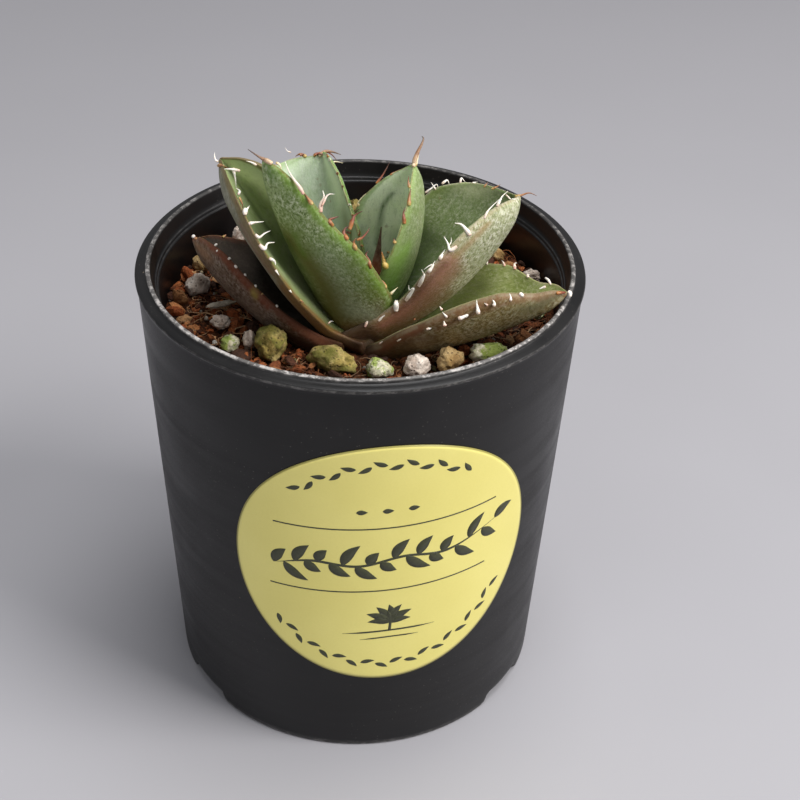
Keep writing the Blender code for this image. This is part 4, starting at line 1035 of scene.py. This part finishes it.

# Marks on the leaves, among them some painted light and painted shade: face, path as (s, t), width in mm, colour,
# strength.
STROKES = {
    "leaf_upright_right": (
        ("outer", ((-0.80, 0.10), (-0.78, 0.50)), 2.6, (0.22, 0.42, 0.05), 0.65),
        # painted shade along the crease of the fold
        ("inner", ((0.58, 0.78), (0.66, 0.67), (0.64, 0.52), (0.62, 0.36)), 0.55, (0.060, 0.13, 0.045), 0.85),
        ("inner", ((0.96, 0.92), (0.95, 0.75), (0.97, 0.55)), 0.5, (0.26, 0.40, 0.13), 0.6),
        ("inner", ((-0.35, 0.95), (-0.40, 0.60), (-0.40, 0.20)), 1.2, (0.070, 0.14, 0.050), 0.6),
        ("inner", ((0.15, 0.25), (0.30, 0.45)), 2.6, (0.085, 0.16, 0.065), 0.5),
    ),
    "leaf_front_left": (
        ("outer", ((0.10, 0.62), (0.25, 0.50), (0.30, 0.36), (0.22, 0.20)), 3.7, (0.090, 0.080, 0.008), 0.95),
        ("outer", ((-0.05, 0.05), (0.30, 0.07), (0.62, 0.0)), 3.0, (0.21, 0.090, 0.022), 0.85),
        ("outer", ((0.52, 0.20), (0.70, 0.14)), 2.4, (0.38, 0.41, 0.28), 0.45),
        ("outer", ((0.30, 0.66), (0.25, 0.56)), 1.2, (0.10, 0.18, 0.022), 0.6),
        ("outer", ((0.30, 0.95), (0.60, 0.96)), 1.6, (0.085, 0.18, 0.022), 0.6),
        ("outer", ((0.88, 0.95), (0.92, 0.70), (0.95, 0.30)), 0.8, (0.15, 0.27, 0.025), 0.45),
        ("outer", ((0.80, 0.50), (0.82, 0.25)), 1.8, (0.115, 0.17, 0.025), 0.6),
        ("outer", ((0.45, 0.20), (0.55, 0.35), (0.60, 0.55)), 3.0, (0.25, 0.32, 0.20), 0.35),
        ("outer", ((0.02, 0.30), (0.02, 0.60)), 1.2, (0.055, 0.075, 0.018), 0.6),
    ),
    "leaf_back_left": (
        # painted light on the part of the inner face that lies in shade
        ("inner", ((-0.50, 0.92), (-0.65, 0.80), (-0.70, 0.68)), 4.0, (0.78, 0.87, 0.60), 0.85),
        ("inner", ((-0.72, 0.50), (-0.60, 0.35)), 2.4, (0.17, 0.19, 0.085), 0.7),
        ("inner", ((0.85, 0.95), (0.90, 0.70)), 1.0, (0.22, 0.32, 0.12), 0.5),
    ),
    "leaf_right": (
        ("outer", ((-0.84, 0.02), (-0.84, 0.25), (-0.86, 0.45), (-0.90, 0.60)), 1.7, (0.37, 0.150, 0.105), 0.8),
        ("outer", ((-0.93, 0.12), (-0.93, 0.55)), 0.8, (0.14, 0.040, 0.026), 0.7),
        ("outer", ((-0.90, 0.62), (-0.86, 0.72), (-0.86, 0.86)), 0.8, (0.34, 0.22, 0.09), 0.75),
        ("outer", ((-0.45, 0.02), (-0.55, 0.20), (-0.45, 0.36)), 3.0, (0.17, 0.085, 0.028), 0.65),
        ("outer", ((-0.72, 0.12), (-0.70, 0.35), (-0.75, 0.54)), 2.2, (0.26, 0.115, 0.070), 0.7),
        ("inner", ((0.95, 0.70), (0.97, 0.90)), 0.7, (0.24, 0.30, 0.10), 0.5),
        ("inner", ((0.70, 0.46), (0.62, 0.30), (0.60, 0.05)), 3.8, (0.022, 0.040, 0.006), 0.9),
        ("inner", ((0.90, 0.96), (0.86, 0.90)), 3.0, (0.60, 0.63, 0.38), 0.85),
        ("inner", ((-0.97, 0.20), (-0.97, 0.60)), 0.5, (0.24, 0.22, 0.15), 0.6),
    ),
    "leaf_left": (
        ("inner", ((0.92, 0.85), (0.90, 0.62), (0.90, 0.42)), 1.1, (0.17, 0.14, 0.020), 0.6),
        ("both", ((0.97, 0.45), (0.97, 0.25), (0.97, 0.05)), 1.3, (0.20, 0.090, 0.024), 0.65),
        ("both", ((0.95, 0.02), (0.95, -0.10)), 1.6, (0.12, 0.055, 0.026), 0.9),
        # painted light on the far half of the inner face, which lies in shade
        ("inner", ((-0.30, 0.92), (-0.55, 0.84), (-0.60, 0.76)), 3.6, (0.76, 0.83, 0.52), 0.9),
        # painted shade beside the crease of the fold, from the tip down
        ("inner", ((0.05, 0.95), (0.18, 0.75), (0.25, 0.60)), 0.7, (0.055, 0.085, 0.020), 0.75),
        ("outer", ((0.90, 0.80), (0.93, 0.55)), 0.9, (0.21, 0.105, 0.055), 0.7),
        ("outer", ((0.70, 0.30), (0.75, 0.10)), 2.6, (0.10, 0.038, 0.012), 0.7),
    ),
    "leaf_low_right": (
        ("outer", ((-0.96, 0.0), (-0.96, 0.25)), 1.0, (0.15, 0.045, 0.022), 0.7),
        ("outer", ((-0.70, 0.0), (-0.70, 0.28)), 3.0, (0.11, 0.060, 0.022), 0.65),
        ("outer", ((-0.88, 0.35), (-0.86, 0.80)), 0.7, (0.19, 0.070, 0.035), 0.6),
        ("inner", ((0.30, 0.75), (0.34, 0.80)), 0.35, (0.40, 0.45, 0.14), 0.7),
        ("inner", ((0.70, 0.52), (0.52, 0.36), (0.50, 0.15)), 3.4, (0.050, 0.058, 0.011), 0.8),
        ("outer", ((-0.70, 0.95), (-0.65, 0.82)), 3.4, (0.105, 0.105, 0.058), 0.75),
    ),
    "leaf_low_left": (
        ("both", ((0.96, 0.85), (0.96, 0.60), (0.96, 0.35)), 0.8, (0.16, 0.036, 0.014), 0.6),
        ("both", ((0.96, 0.46), (0.95, 0.44)), 0.7, (0.30, 0.24, 0.06), 0.8),
        ("outer", ((0.60, 0.95), (0.70, 0.86)), 2.2, (0.34, 0.19, 0.105), 0.7),
        ("outer", ((0.70, 0.25), (0.80, 0.05)), 2.6, (0.030, 0.014, 0.008), 0.7),
    ),
}


def leaf_slot(node):
    return "leaf_bronze" if node == "leaf_low_left" else "leaf_green"


def build_leaf(node):
    """One leaf as closed rings of points: inner face, right edge, outer face, left edge."""
    leaf = LEAVES[node]
    t = leaf_rows(leaf, LEAF_ROWS)
    even = np.linspace(-1.0, 1.0, LEAF_COLUMNS)
    s = np.sin(even * math.pi / 2) * 0.35 + even * 0.65
    inner, outer = leaf_sheets(leaf, t, s)
    (left, left_out), (right, right_out) = margin(inner, outer, -1), margin(inner, outer, 1)
    left, right = left + EDGE_ROUND * left_out, right + EDGE_ROUND * right_out
    rings = np.concatenate([inner, right[:, None], outer[:, ::-1], left[:, None]], axis=1)
    rows, loop = rings.shape[:2]
    across = np.linalg.norm(np.diff(inner, axis=1), axis=2)
    across = np.concatenate([np.zeros((rows, 1)), np.cumsum(across, axis=1)], axis=1)
    across = across - across[:, LEAF_COLUMNS // 2:LEAF_COLUMNS // 2 + 1]
    to_edge = np.minimum(across - across[:, :1], across[:, -1:] - across)
    zero = np.zeros((rows, 1))
    edge = np.concatenate([to_edge, zero, to_edge[:, ::-1], zero], axis=1)
    skin = np.zeros((rows, loop, 3))
    skin[..., 0] = np.concatenate([s, [1.0], s[::-1], [-1.0]])
    skin[..., 1] = t[:, None]
    skin[..., 2] = np.concatenate([np.zeros(LEAF_COLUMNS), [0.5], np.ones(LEAF_COLUMNS), [0.5]])
    flat = np.zeros((rows, loop, 3))
    flat[..., 0] = np.concatenate([across, across[:, -1:], across[:, ::-1] + 90, across[:, :1]], axis=1)
    flat[..., 1] = (t * leaf["length"])[:, None]

    foot = [(loop - 2 - j, j, j + 1, loop - 3 - j) for j in range(LEAF_COLUMNS - 1)]
    foot += [(loop - 1, 0, loop - 2), (LEAF_COLUMNS - 1, LEAF_COLUMNS, LEAF_COLUMNS + 1)]
    tip, last = rows * loop, (rows - 1) * loop
    point = rings[-1].mean(0) + leaf_frame(leaf, t)[1][-1] * 0.3
    faces = foot + ring_quads(rows, loop, flip=True)
    faces += [(last + j, tip, last + (j + 1) % loop) for j in range(loop)]

    def per_point(values):
        values = values.reshape(rows * loop, *values.shape[2:])
        return np.concatenate([values, values[-1:]], axis=0)

    paint = paint_leaf(skin, flat, STROKES[node])
    make_piece(node + "_blade", np.vstack([rings.reshape(-1, 3), point]), faces,
               leaf_material(node + "_look", dict(BASE_LOOK, **LOOKS[node])), node, leaf_slot(node),
               shades={"skin": per_point(skin), "flat_mm": per_point(flat), "edge_mm": per_point(edge),
                       "paint": per_point(paint)})


def paint_leaf(skin, flat, strokes):
    """Colour and strength of the marks, painted light and painted shade at each point of the leaf."""
    paint = np.zeros(skin.shape[:2] + (4,))
    scale_s = max(4.0, min(np.abs(flat[..., 0]).max(), 14.0))
    scale_t = flat[..., 1].max()
    for face, path, width, colour, strength in strokes:
        d = np.full(skin.shape[:2], 1e9)
        for ps, pt in spline(path, 40):
            d = np.minimum(d, ((skin[..., 0] - ps) * scale_s) ** 2 + ((skin[..., 1] - pt) * scale_t) ** 2)
        share = strength * np.exp(-d / (width ** 2))
        share *= {"inner": skin[..., 2] < 0.6, "outer": skin[..., 2] > 0.4, "both": skin[..., 2] > -1}[face]
        old = paint[..., 3]
        total = old + share * (1 - old)
        blend = np.where(total > 1e-6, share / np.maximum(total, 1e-6), 0)[..., None]
        paint[..., :3] = paint[..., :3] * (1 - blend) + np.array(colour) * blend
        paint[..., 3] = total
    return paint


def horn_material(name):
    """Hard, slightly glossy horn; its colour comes point by point."""
    shade = Shade(name, 0.42, 0.5)
    where = shade.place()
    lines = shade.noise(1.2, shade.place((1800.0, 1800.0, 450.0)), 3.0, 0.6)
    mottle = shade.noise(0.9, where, 3.0)
    tone = shade.attribute("tone", "Color")
    tone = shade.mix(shade.step(lines, 0.50, 0.72, (0.0, 0.30)), tone, (0.30, 0.17, 0.09), "MULTIPLY")
    shade.set("Base Color", shade.over(tone, (0.75, 0.62, 0.48), mottle, 0.35, 0.70, 0.12))
    shade.set("Roughness", shade.step(mottle, 0.3, 0.7, (0.34, 0.52)))
    shade.set("Normal", shade.bump(lines, 0.05, 0.5))
    shade.glow_within(0.15, (1.0, 0.7, 0.5), 0.0006)
    return shade.mat


# The plane that teeth are drawn in, to the right and up while leaning back, and the way into the plant.
RIGHT = np.array([1.0, 0.0, 0.0])
RISING = np.array([0.0, 0.588, 0.809])
INWARD = np.array([0.0, 0.809, -0.588])


def add_tooth(heap, tree, points, look, radius):
    """A horn along the points: fat near its root, thin at its end, resting on the leaf where it meets it."""
    count = 6 + 4 * len(points)
    path = spline(points, count)
    share = np.linspace(0.0, 1.0, count)
    radius *= TOOTH_FATNESS
    if look == "bead":
        radii = radius * (0.45 + 0.55 * np.sqrt(np.clip(1 - (2 * share - 1) ** 2, 0, 1)))
    else:
        swell = 0.75 + 0.25 * np.clip(share / 0.18, 0, 1)
        taper = np.clip(1 - 0.86 * np.clip((share - 0.22) / 0.78, 0, 1) ** 0.75, 0.1, 1)
        radii = radius * swell * taper
    for k in range(count):
        hit = tree.ray_cast(Vector(path[k] - 25.0 * INWARD), Vector(INWARD))[0]
        if hit is not None:
            depth = np.dot(np.array(hit) - path[k], INWARD)
            if -4.0 < depth < radii[k] * 0.35:
                path[k] += INWARD * (depth - radii[k] * 0.35)
    verts, faces, along = tube(path, radii, 9)
    root, middle, end = (np.array(c) for c in TOOTH_LOOKS[look])
    first = np.clip(along / 0.35, 0, 1)[:, None]
    second = np.clip((along - 0.45) / 0.55, 0, 1)[:, None]
    colour = root * (1 - first) + middle * first
    heap.add(verts, faces, colour * (1 - second) + end * second)


def build_teeth(node):
    """The teeth and the end spine of one leaf, as one piece."""
    leaf = LEAVES[node]
    tree = leaf_tree(node)
    heap = Heap()
    t = leaf_rows(leaf, 240)
    inner, outer = leaf_sheets(leaf, t, np.linspace(-1.0, 1.0, 41))
    for side in (-1, 1):
        edge = margin(inner, outer, side)[0]
        for at, look, radius, *points in TEETH.get((node, side), ()):
            foot = edge[np.abs(t - at).argmin()]
            add_tooth(heap, tree, [foot + x * RIGHT + u * RISING for x, u in points], look, radius)
    tip = (inner[-1].mean(0) + outer[-1].mean(0)) / 2
    for look, radius, *points in SPINES[node]:
        add_tooth(heap, tree, [tip + x * RIGHT + u * RISING for x, u in points], look, radius)
    for side, low, high, count, looks in MORE_TEETH[node]:
        edge, out = margin(inner, outer, side)
        for k in range(count):
            at = low + (high - low) * (k + TEETH_RNG.uniform(0.1, 0.9)) / count
            row = np.abs(t - at).argmin()
            ahead = unit(edge[min(row + 2, len(t) - 1)] - edge[row - 2])
            hook = TEETH_RNG.uniform(-0.9, 1.2)
            reach = TEETH_RNG.uniform(0.7, 2.2)
            points = [edge[row] - 0.2 * out[row], edge[row] + out[row] * reach * 0.5 + ahead * hook * 0.3,
                      edge[row] + out[row] * reach * 0.8 + ahead * hook]
            look = looks[int(TEETH_RNG.integers(len(looks)))]
            add_tooth(heap, tree, points, look, TEETH_RNG.uniform(0.28, 0.45))
    heap.piece(node + "_horn", horn_material(node + "_horn_look"), slot=leaf_slot(node))


def build_bud():
    """The folded tip of the next leaf: a dark red spike with a green foot."""
    foot, tip = np.array(BUD_BASE), np.array(BUD_TIP)
    stations = np.linspace(0.0, 1.0, 9)
    path = [foot + (tip - foot) * k + np.array([0.25 * math.sin(3.0 * k), 0.0, 0.0]) for k in stations]
    radii = BUD_R * np.array([0.95, 1.0, 0.92, 0.78, 0.60, 0.42, 0.27, 0.14, 0.05])
    count = 40
    radii = np.interp(np.linspace(0.0, 1.0, count), stations, radii)
    verts, faces, along = tube(spline(path, count), radii, 20)
    green, rust, dark = (np.array(c) for c in ((0.10, 0.15, 0.04), (0.26, 0.06, 0.020), (0.055, 0.012, 0.007)))
    low = np.clip((along - 0.10) / 0.35, 0, 1)[:, None]
    high = np.clip((along - 0.42) / 0.30, 0, 1)[:, None]
    heap = Heap()
    heap.add(verts, faces, (green * (1 - low) + rust * low) * (1 - high) + dark * high)
    heap.piece("bud_spike", horn_material("bud_look"), node="bud", slot="bud_brown")


def crown_material():
    shade = Shade("crown_look", 0.75, 0.25)
    grain = shade.noise(1.4, shade.place(), 5.0)
    shade.set("Base Color", shade.over((0.055, 0.030, 0.014), (0.15, 0.13, 0.05), grain, 0.35, 0.65))
    shade.set("Normal", shade.bump(grain, 0.15, 0.8))
    return shade.mat


def build_crown():
    """The short stem between the leaf bases, ringed where leaves once sat."""
    rows, sides = 25, 40
    verts = []
    for share in np.arange(rows) / (rows - 1):
        r = CROWN_R * (0.95 - 0.2 * share + 0.04 * math.sin(share * 34.0))
        r *= math.sqrt(max(0.0, 1.0 - share ** 8))
        verts += circle(r, CROWN_BOTTOM_Z + (CROWN_TOP_Z - CROWN_BOTTOM_Z) * share, sides, CROWN_XY)
    faces = [tuple(reversed(range(sides)))] + ring_quads(rows, sides)
    make_piece("crown_stem", verts, faces, crown_material(), "crown", "crown_skin")


# ------------------------------------------------------------------ mix, crumbs, fibres and stones
def mix_top(x, y):
    share = min(1.0, math.hypot(x, y) / 38.0) ** 2
    z = MIX_MIDDLE_Z + (MIX_RIM_Z - MIX_MIDDLE_Z) * share
    z += 0.5 * noise.noise(Vector((x * 0.22, y * 0.22, 4.0)))
    return z + 0.35 * noise.noise(Vector((x * 0.6, y * 0.6, 9.0)))


def tone_material(name, rough, fine, contrast, dip):
    """Colour from the points' own tone, broken up by fine noise."""
    shade = Shade(name, rough, 0.25)
    where = shade.place()
    tone = shade.attribute("tone", "Color")
    grain = shade.noise(fine, where, 5.0, 0.65)
    dark = shade.mix(1.0, tone, (contrast, contrast, contrast), "MULTIPLY")
    shade.set("Base Color", shade.mix(shade.step(grain, 0.62, 0.34), tone, dark))
    shade.set("Normal", shade.bump(grain, dip, 0.9))
    return shade.mat


def ball(level):
    work = bmesh.new()
    bmesh.ops.create_icosphere(work, subdivisions=level, radius=1.0)
    points = np.array([v.co[:] for v in work.verts])
    faces = [tuple(v.index for v in f.verts) for f in work.faces]
    work.free()
    return points, faces


def any_turn():
    q = RNG.normal(size=4)
    w, x, y, z = q / np.linalg.norm(q)
    return np.array([[1 - 2 * (y * y + z * z), 2 * (x * y - z * w), 2 * (x * z + y * w)],
                     [2 * (x * y + z * w), 1 - 2 * (x * x + z * z), 2 * (y * z - x * w)],
                     [2 * (x * z - y * w), 2 * (y * z + x * w), 1 - 2 * (x * x + y * y)]])


def chip(points, cuts):
    """Planar cuts turn a ball into an angular crumb."""
    points = points.copy()
    for _ in range(cuts):
        n = unit(RNG.normal(size=3))
        depth = RNG.uniform(0.35, 0.8)
        over = np.clip(points @ n - depth, 0, None)
        points -= over[:, None] * n * 0.95
    return points


BARK_TONES = ((0.31, 0.090, 0.028), (0.44, 0.135, 0.042), (0.58, 0.23, 0.080), (0.15, 0.044, 0.016),
              (0.66, 0.35, 0.155), (0.055, 0.023, 0.013), (0.38, 0.096, 0.027), (0.10, 0.036, 0.018))
GRIT_TONES = ((0.42, 0.37, 0.30), (0.30, 0.24, 0.15), (0.52, 0.49, 0.44), (0.22, 0.19, 0.08))
FIBRE_TONES = ((0.28, 0.095, 0.030), (0.46, 0.27, 0.14), (0.15, 0.050, 0.02))


def painted_wall_shade(x, y):
    """Share of the bark's colour left under painted shade: the mix is darkest along the front and right of the
    wall, in the wall's shade.
    """
    reach = (0.42 * x - 0.91 * y - 9.0) / 10.0
    return 1.0 - 0.48 * min(max(reach, 0.0), 1.0)


def polar(r, turn):
    return r * math.cos(turn), r * math.sin(turn)


def bed_material():
    shade = Shade("mix_bed_look", 0.95, 0.15)
    grain = shade.noise(0.9, shade.place(), 6.0, 0.7)
    # the bed's very dark colour is partly the mix's own and partly painted shade for the gaps between the crumbs
    shade.set("Base Color", shade.over((0.016, 0.007, 0.004), (0.13, 0.042, 0.015), grain, 0.35, 0.65))
    shade.set("Normal", shade.bump(grain, 0.5, 1.0))
    return shade.mat


def build_bed():
    """The body of the mix, rough on top and filling the pot down to its floor."""
    rings, sides = 60, 180
    verts = [(0.0, 0.0, mix_top(0, 0) - 0.9)]
    for ring in range(1, rings + 1):
        for x, y, _ in circle(MIX_R * ring / rings, 0.0, sides):
            verts.append((x, y, mix_top(x, y) - 0.9 + 0.8 * noise.noise(Vector((x * 1.1, y * 1.1, 1.0)))))
    for r, z in ((39.85, 84.0), (36.9, 8.0), (35.5, 6.4)):
        verts += circle(r, z, sides)
    foot = len(verts)
    verts.append((0.0, 0.0, 6.4))
    faces = []
    for i in range(sides):
        j = (i + 1) % sides
        faces.append((0, 1 + i, 1 + j))
        for ring in range(rings + 2):
            a = 1 + ring * sides
            faces.append((a + i, a + sides + i, a + sides + j, a + j))
        end = 1 + (rings + 2) * sides
        faces.append((foot, end + j, end + i))
    make_piece("mix_bed", verts, faces, bed_material(), "potting_mix", "potting_mix")


def build_crumbs(obstacles):
    """Bark and grit from dust to chips, scattered over the bed."""
    small, small_faces = ball(1)
    middle, middle_faces = ball(2)
    bark, grit = Heap(), Heap()
    for kind, count, low, high, lift in (("dust", 5200, 0.28, 0.7, -0.25), ("crumb", 2300, 0.7, 1.5, -0.1),
                                         ("chip", 720, 1.5, 3.9, 0.15), ("grit", 420, 0.5, 1.5, 0.1)):
        for _ in range(count):
            r = 39.6 * math.sqrt(RNG.uniform(0.0, 1.0))
            turn = RNG.uniform(0, 2 * math.pi)
            size = low + (high - low) * RNG.uniform(0, 1) ** 1.6
            x, y = polar(min(r, MIX_R - size * 0.6), turn)
            z = mix_top(x, y) - 0.55 + size * 0.22 + lift + RNG.uniform(-0.3, 0.35)
            stretch = np.array([1.0, RNG.uniform(0.45, 1.0), RNG.uniform(0.25, 0.8)]) * size * 0.62
            if kind == "grit":
                stretch = np.array([1.0, RNG.uniform(0.7, 1.0), RNG.uniform(0.6, 1.0)]) * size * 0.5
            if blocked(obstacles, (x, y, z), size * 0.42):
                continue
            points, faces = (small, small_faces) if size < 0.8 else (middle, middle_faces)
            body = chip(points * (1 + RNG.normal(0, 0.10, (len(points), 1))), 3 if size < 0.8 else 5)
            flip = any_turn()
            if kind == "chip":
                lean = RNG.uniform(-0.6, 0.6, 2)
                flip = np.array(Matrix.Rotation(RNG.uniform(0, 6.28), 3, "Z") @ Matrix.Rotation(lean[0], 3, "X")
                                @ Matrix.Rotation(lean[1], 3, "Y"))
            tones = GRIT_TONES if kind == "grit" else BARK_TONES
            # painted shade near the front and right of the wall darkens the crumbs' colour
            colour = np.array(tones[RNG.integers(len(tones))]) * RNG.uniform(0.65, 1.25) * painted_wall_shade(x, y)
            (grit if kind == "grit" else bark).add((body * stretch) @ flip.T + (x, y, z), faces, colour)
    bark.piece("mix_bark_crumbs", tone_material("bark_crumb_look", 0.85, 2.6, 0.4, 0.12), smooth=False,
               slot="potting_mix")
    grit.piece("mix_grit_crumbs", tone_material("grit_crumb_look", 0.9, 3.0, 0.45, 0.10), slot="pumice")


def build_fibres(obstacles):
    """Coir fibres that wander over the mix, every sixth one in a higher arch."""
    fibres = Heap()
    steps = 8
    for k in range(1300):
        r = 38.5 * math.sqrt(RNG.uniform(0.02, 1.0))
        x, y = polar(r, RNG.uniform(0, 2 * math.pi))
        length = RNG.uniform(2.0, 8.5)
        head = RNG.uniform(0, 2 * math.pi)
        curl = RNG.normal(0, 0.28)
        points = []
        rise = RNG.uniform(0.1, 1.0) * (1.6 if k % 6 == 0 else 0.8)
        for i in range(steps + 1):
            z = mix_top(x, y) + 0.15 + rise * math.sin(math.pi * i / steps) + RNG.normal(0, 0.08)
            points.append((x, y, z))
            head += curl + RNG.normal(0, 0.16)
            x += math.cos(head) * length / steps
            y += math.sin(head) * length / steps
        points = np.array(points)
        if np.hypot(points[:, 0], points[:, 1]).max() > 39.4:
            continue
        if any(blocked(obstacles, p, 0.15) for p in points[::2]):
            continue
        radii = RNG.uniform(0.05, 0.15) * (1 - 0.6 * np.linspace(0, 1, steps + 1) ** 2)
        verts, faces, _ = tube(points, radii, 5)
        # painted shade near the front and right of the wall darkens the fibres' colour
        colour = np.array(FIBRE_TONES[k % 3]) * RNG.uniform(0.7, 1.3) * painted_wall_shade(x, y)
        fibres.add(verts, faces, colour)
    fibres.piece("mix_fibres", tone_material("fibre_look", 0.7, 4.0, 0.6, 0.03), slot="potting_mix")


def blocked(obstacles, point, reach):
    """True where a crumb would stick through a leaf or a stone."""
    for tree in obstacles:
        hit, normal, _, distance = tree.find_nearest(Vector(point), 6.0)
        if hit is None:
            continue
        inside = (Vector(point) - hit).dot(normal) < 0
        if inside or distance < reach:
            return True
    return False


# Colours of each kind: its own, the paler patches and the stains; how stained it is, its flat cuts, its slot.
STONE_KINDS = {
    "pumice": ((0.60, 0.50, 0.42), (0.74, 0.66, 0.58), (0.24, 0.15, 0.10), 0.35, 3, "pumice"),
    "cream": ((0.35, 0.225, 0.085), (0.48, 0.345, 0.165), (0.18, 0.095, 0.034), 0.45, 6, "stone_cream"),
    "yellow": ((0.30, 0.225, 0.060), (0.46, 0.35, 0.14), (0.10, 0.080, 0.016), 0.75, 4, "stone_yellow"),
    "green": ((0.54, 0.48, 0.34), (0.68, 0.64, 0.50), (0.14, 0.17, 0.025), 0.35, 4, "stone_green"),
    "bark": ((0.28, 0.12, 0.040), (0.40, 0.20, 0.08), (0.10, 0.04, 0.015), 0.5, 7, "bark"),
    "stick": ((0.50, 0.43, 0.32), (0.62, 0.56, 0.45), (0.22, 0.15, 0.09), 0.3, 2, "stick"),
}
# Moss on the kinds that carry it: colour and strength.
MOSS = {"green": ((0.21, 0.29, 0.025), 0.85), "yellow": ((0.12, 0.14, 0.020), 0.55)}
WOODY = ("bark", "stick")


def stone_material(name, kind, seed):
    shade = Shade(name, 0.88, 0.25)
    where = shade.place(shift=(seed * 13.7, seed * 5.1, seed * 3.3))
    base, pale, stain, stained = STONE_KINDS[kind][:4]
    cloud = shade.noise(0.35, where, 4.0)
    grain = shade.noise(2.6, where, 5.0, 0.7)
    pits = shade.cells(1.15, where)
    tone = shade.over(base, pale, cloud, 0.38, 0.62)
    patch = shade.noise(0.42, shade.place(shift=(seed * 3.1, seed * 9.0, seed)), 4.0)
    tone = shade.mix(shade.times(shade.step(patch, 0.47, 0.60), stained), tone, stain)
    if kind in MOSS:
        colour, strength = MOSS[kind]
        moss = shade.noise(0.30, shade.place(shift=(seed, seed * 7.0, 2.0)), 5.0, 0.65)
        tone = shade.mix(shade.times(shade.step(moss, 0.46, 0.55), strength), tone, colour)
    holes = shade.step(grain, 0.4, 0.3) if kind in WOODY else shade.step(pits, 0.30, 0.12)
    tone = shade.mix(shade.times(holes, 0.55), tone, (0.06, 0.04, 0.03))
    tone = shade.over(tone, stain, grain, 0.62, 0.36, 0.35)
    soil = shade.step(shade.axis(where, 2), 87.0 + seed * 3.3, 85.6 + seed * 3.3)
    shade.set("Base Color", shade.mix(shade.times(soil, 0.8), tone, (0.05, 0.025, 0.012)))
    rough = shade.bump(grain, 0.18, 0.8)
    shade.set("Normal", shade.bump(shade.step(pits, 0.10, 0.35), 0.22, 0.7, rough))
    return shade.mat


def stone_points(spec, seed):
    """A ball with a few flat cuts, lumps and pits, stretched to the stone's size and turned."""
    centre, size, turn_deg, kind = spec
    points, faces = ball(4)
    for _ in range(STONE_KINDS[kind][4]):
        n = unit(RNG.normal(size=3))
        over = np.clip(points @ n - RNG.uniform(0.62, 0.88), 0, None)
        points = points - over[:, None] * n * 0.8
    bump = np.array([1.0 + 0.20 * noise.noise(Vector(p) * 1.7 + Vector((seed * 3.1, seed, 0.0)))
                     + 0.13 * noise.noise(Vector(p) * 4.3 + Vector((seed, 2.0, seed * 1.7)))
                     + 0.08 * noise.noise(Vector(p) * 9.5 + Vector((seed, 5.0, seed * 2.7)))
                     for p in points])
    pit = np.array([noise.voronoi(Vector(p) * 3.1 + Vector((seed * 2.0, 0, seed)))[0][0] for p in points])
    bump -= 0.14 * np.exp(-(pit / 0.22) ** 2) * (0.3 if kind in WOODY else 1.0)
    local = points * (np.array(size) / 2 * 1.03) * bump[:, None]
    turn = math.radians(turn_deg)
    x = local[:, 0] * math.cos(turn) - local[:, 1] * math.sin(turn)
    y = local[:, 0] * math.sin(turn) + local[:, 1] * math.cos(turn)
    return np.stack([x, y, local[:, 2]], 1) + centre, faces


def build_stones():
    """Every loose piece, each with its own closed shape for keeping crumbs out of it."""
    trees = []
    for seed, (node, spec) in enumerate(STONES.items()):
        verts, faces = stone_points(spec, seed)
        kind = spec[3]
        material = stone_material(node + "_look", kind, seed)
        make_piece(node + "_grain", verts, faces, material, node, STONE_KINDS[kind][5])
        trees.append(BVHTree.FromPolygons([Vector(v) for v in verts], faces))
    return trees


def leaf_tree(node):
    """Closed shape of a leaf, coarse, for keeping crumbs out of it and for laying teeth on it."""
    t = leaf_rows(LEAVES[node], 34)
    inner, outer = leaf_sheets(LEAVES[node], t, np.linspace(-1, 1, 17))
    rings = np.concatenate([inner, outer[:, ::-1]], axis=1)
    verts = [Vector(v) for v in rings.reshape(-1, 3)]
    return BVHTree.FromPolygons(verts, ring_quads(*rings.shape[:2], flip=True))


build_stage()
build_pot()
build_sticker()
build_print()
for leaf_node in LEAVES:
    build_leaf(leaf_node)
    build_teeth(leaf_node)
build_bud()
build_crown()
stone_trees = build_stones()
solid_shapes = [leaf_tree(leaf_node) for leaf_node in LEAVES] + stone_trees
build_bed()
build_crumbs(solid_shapes)
build_fibres(solid_shapes)
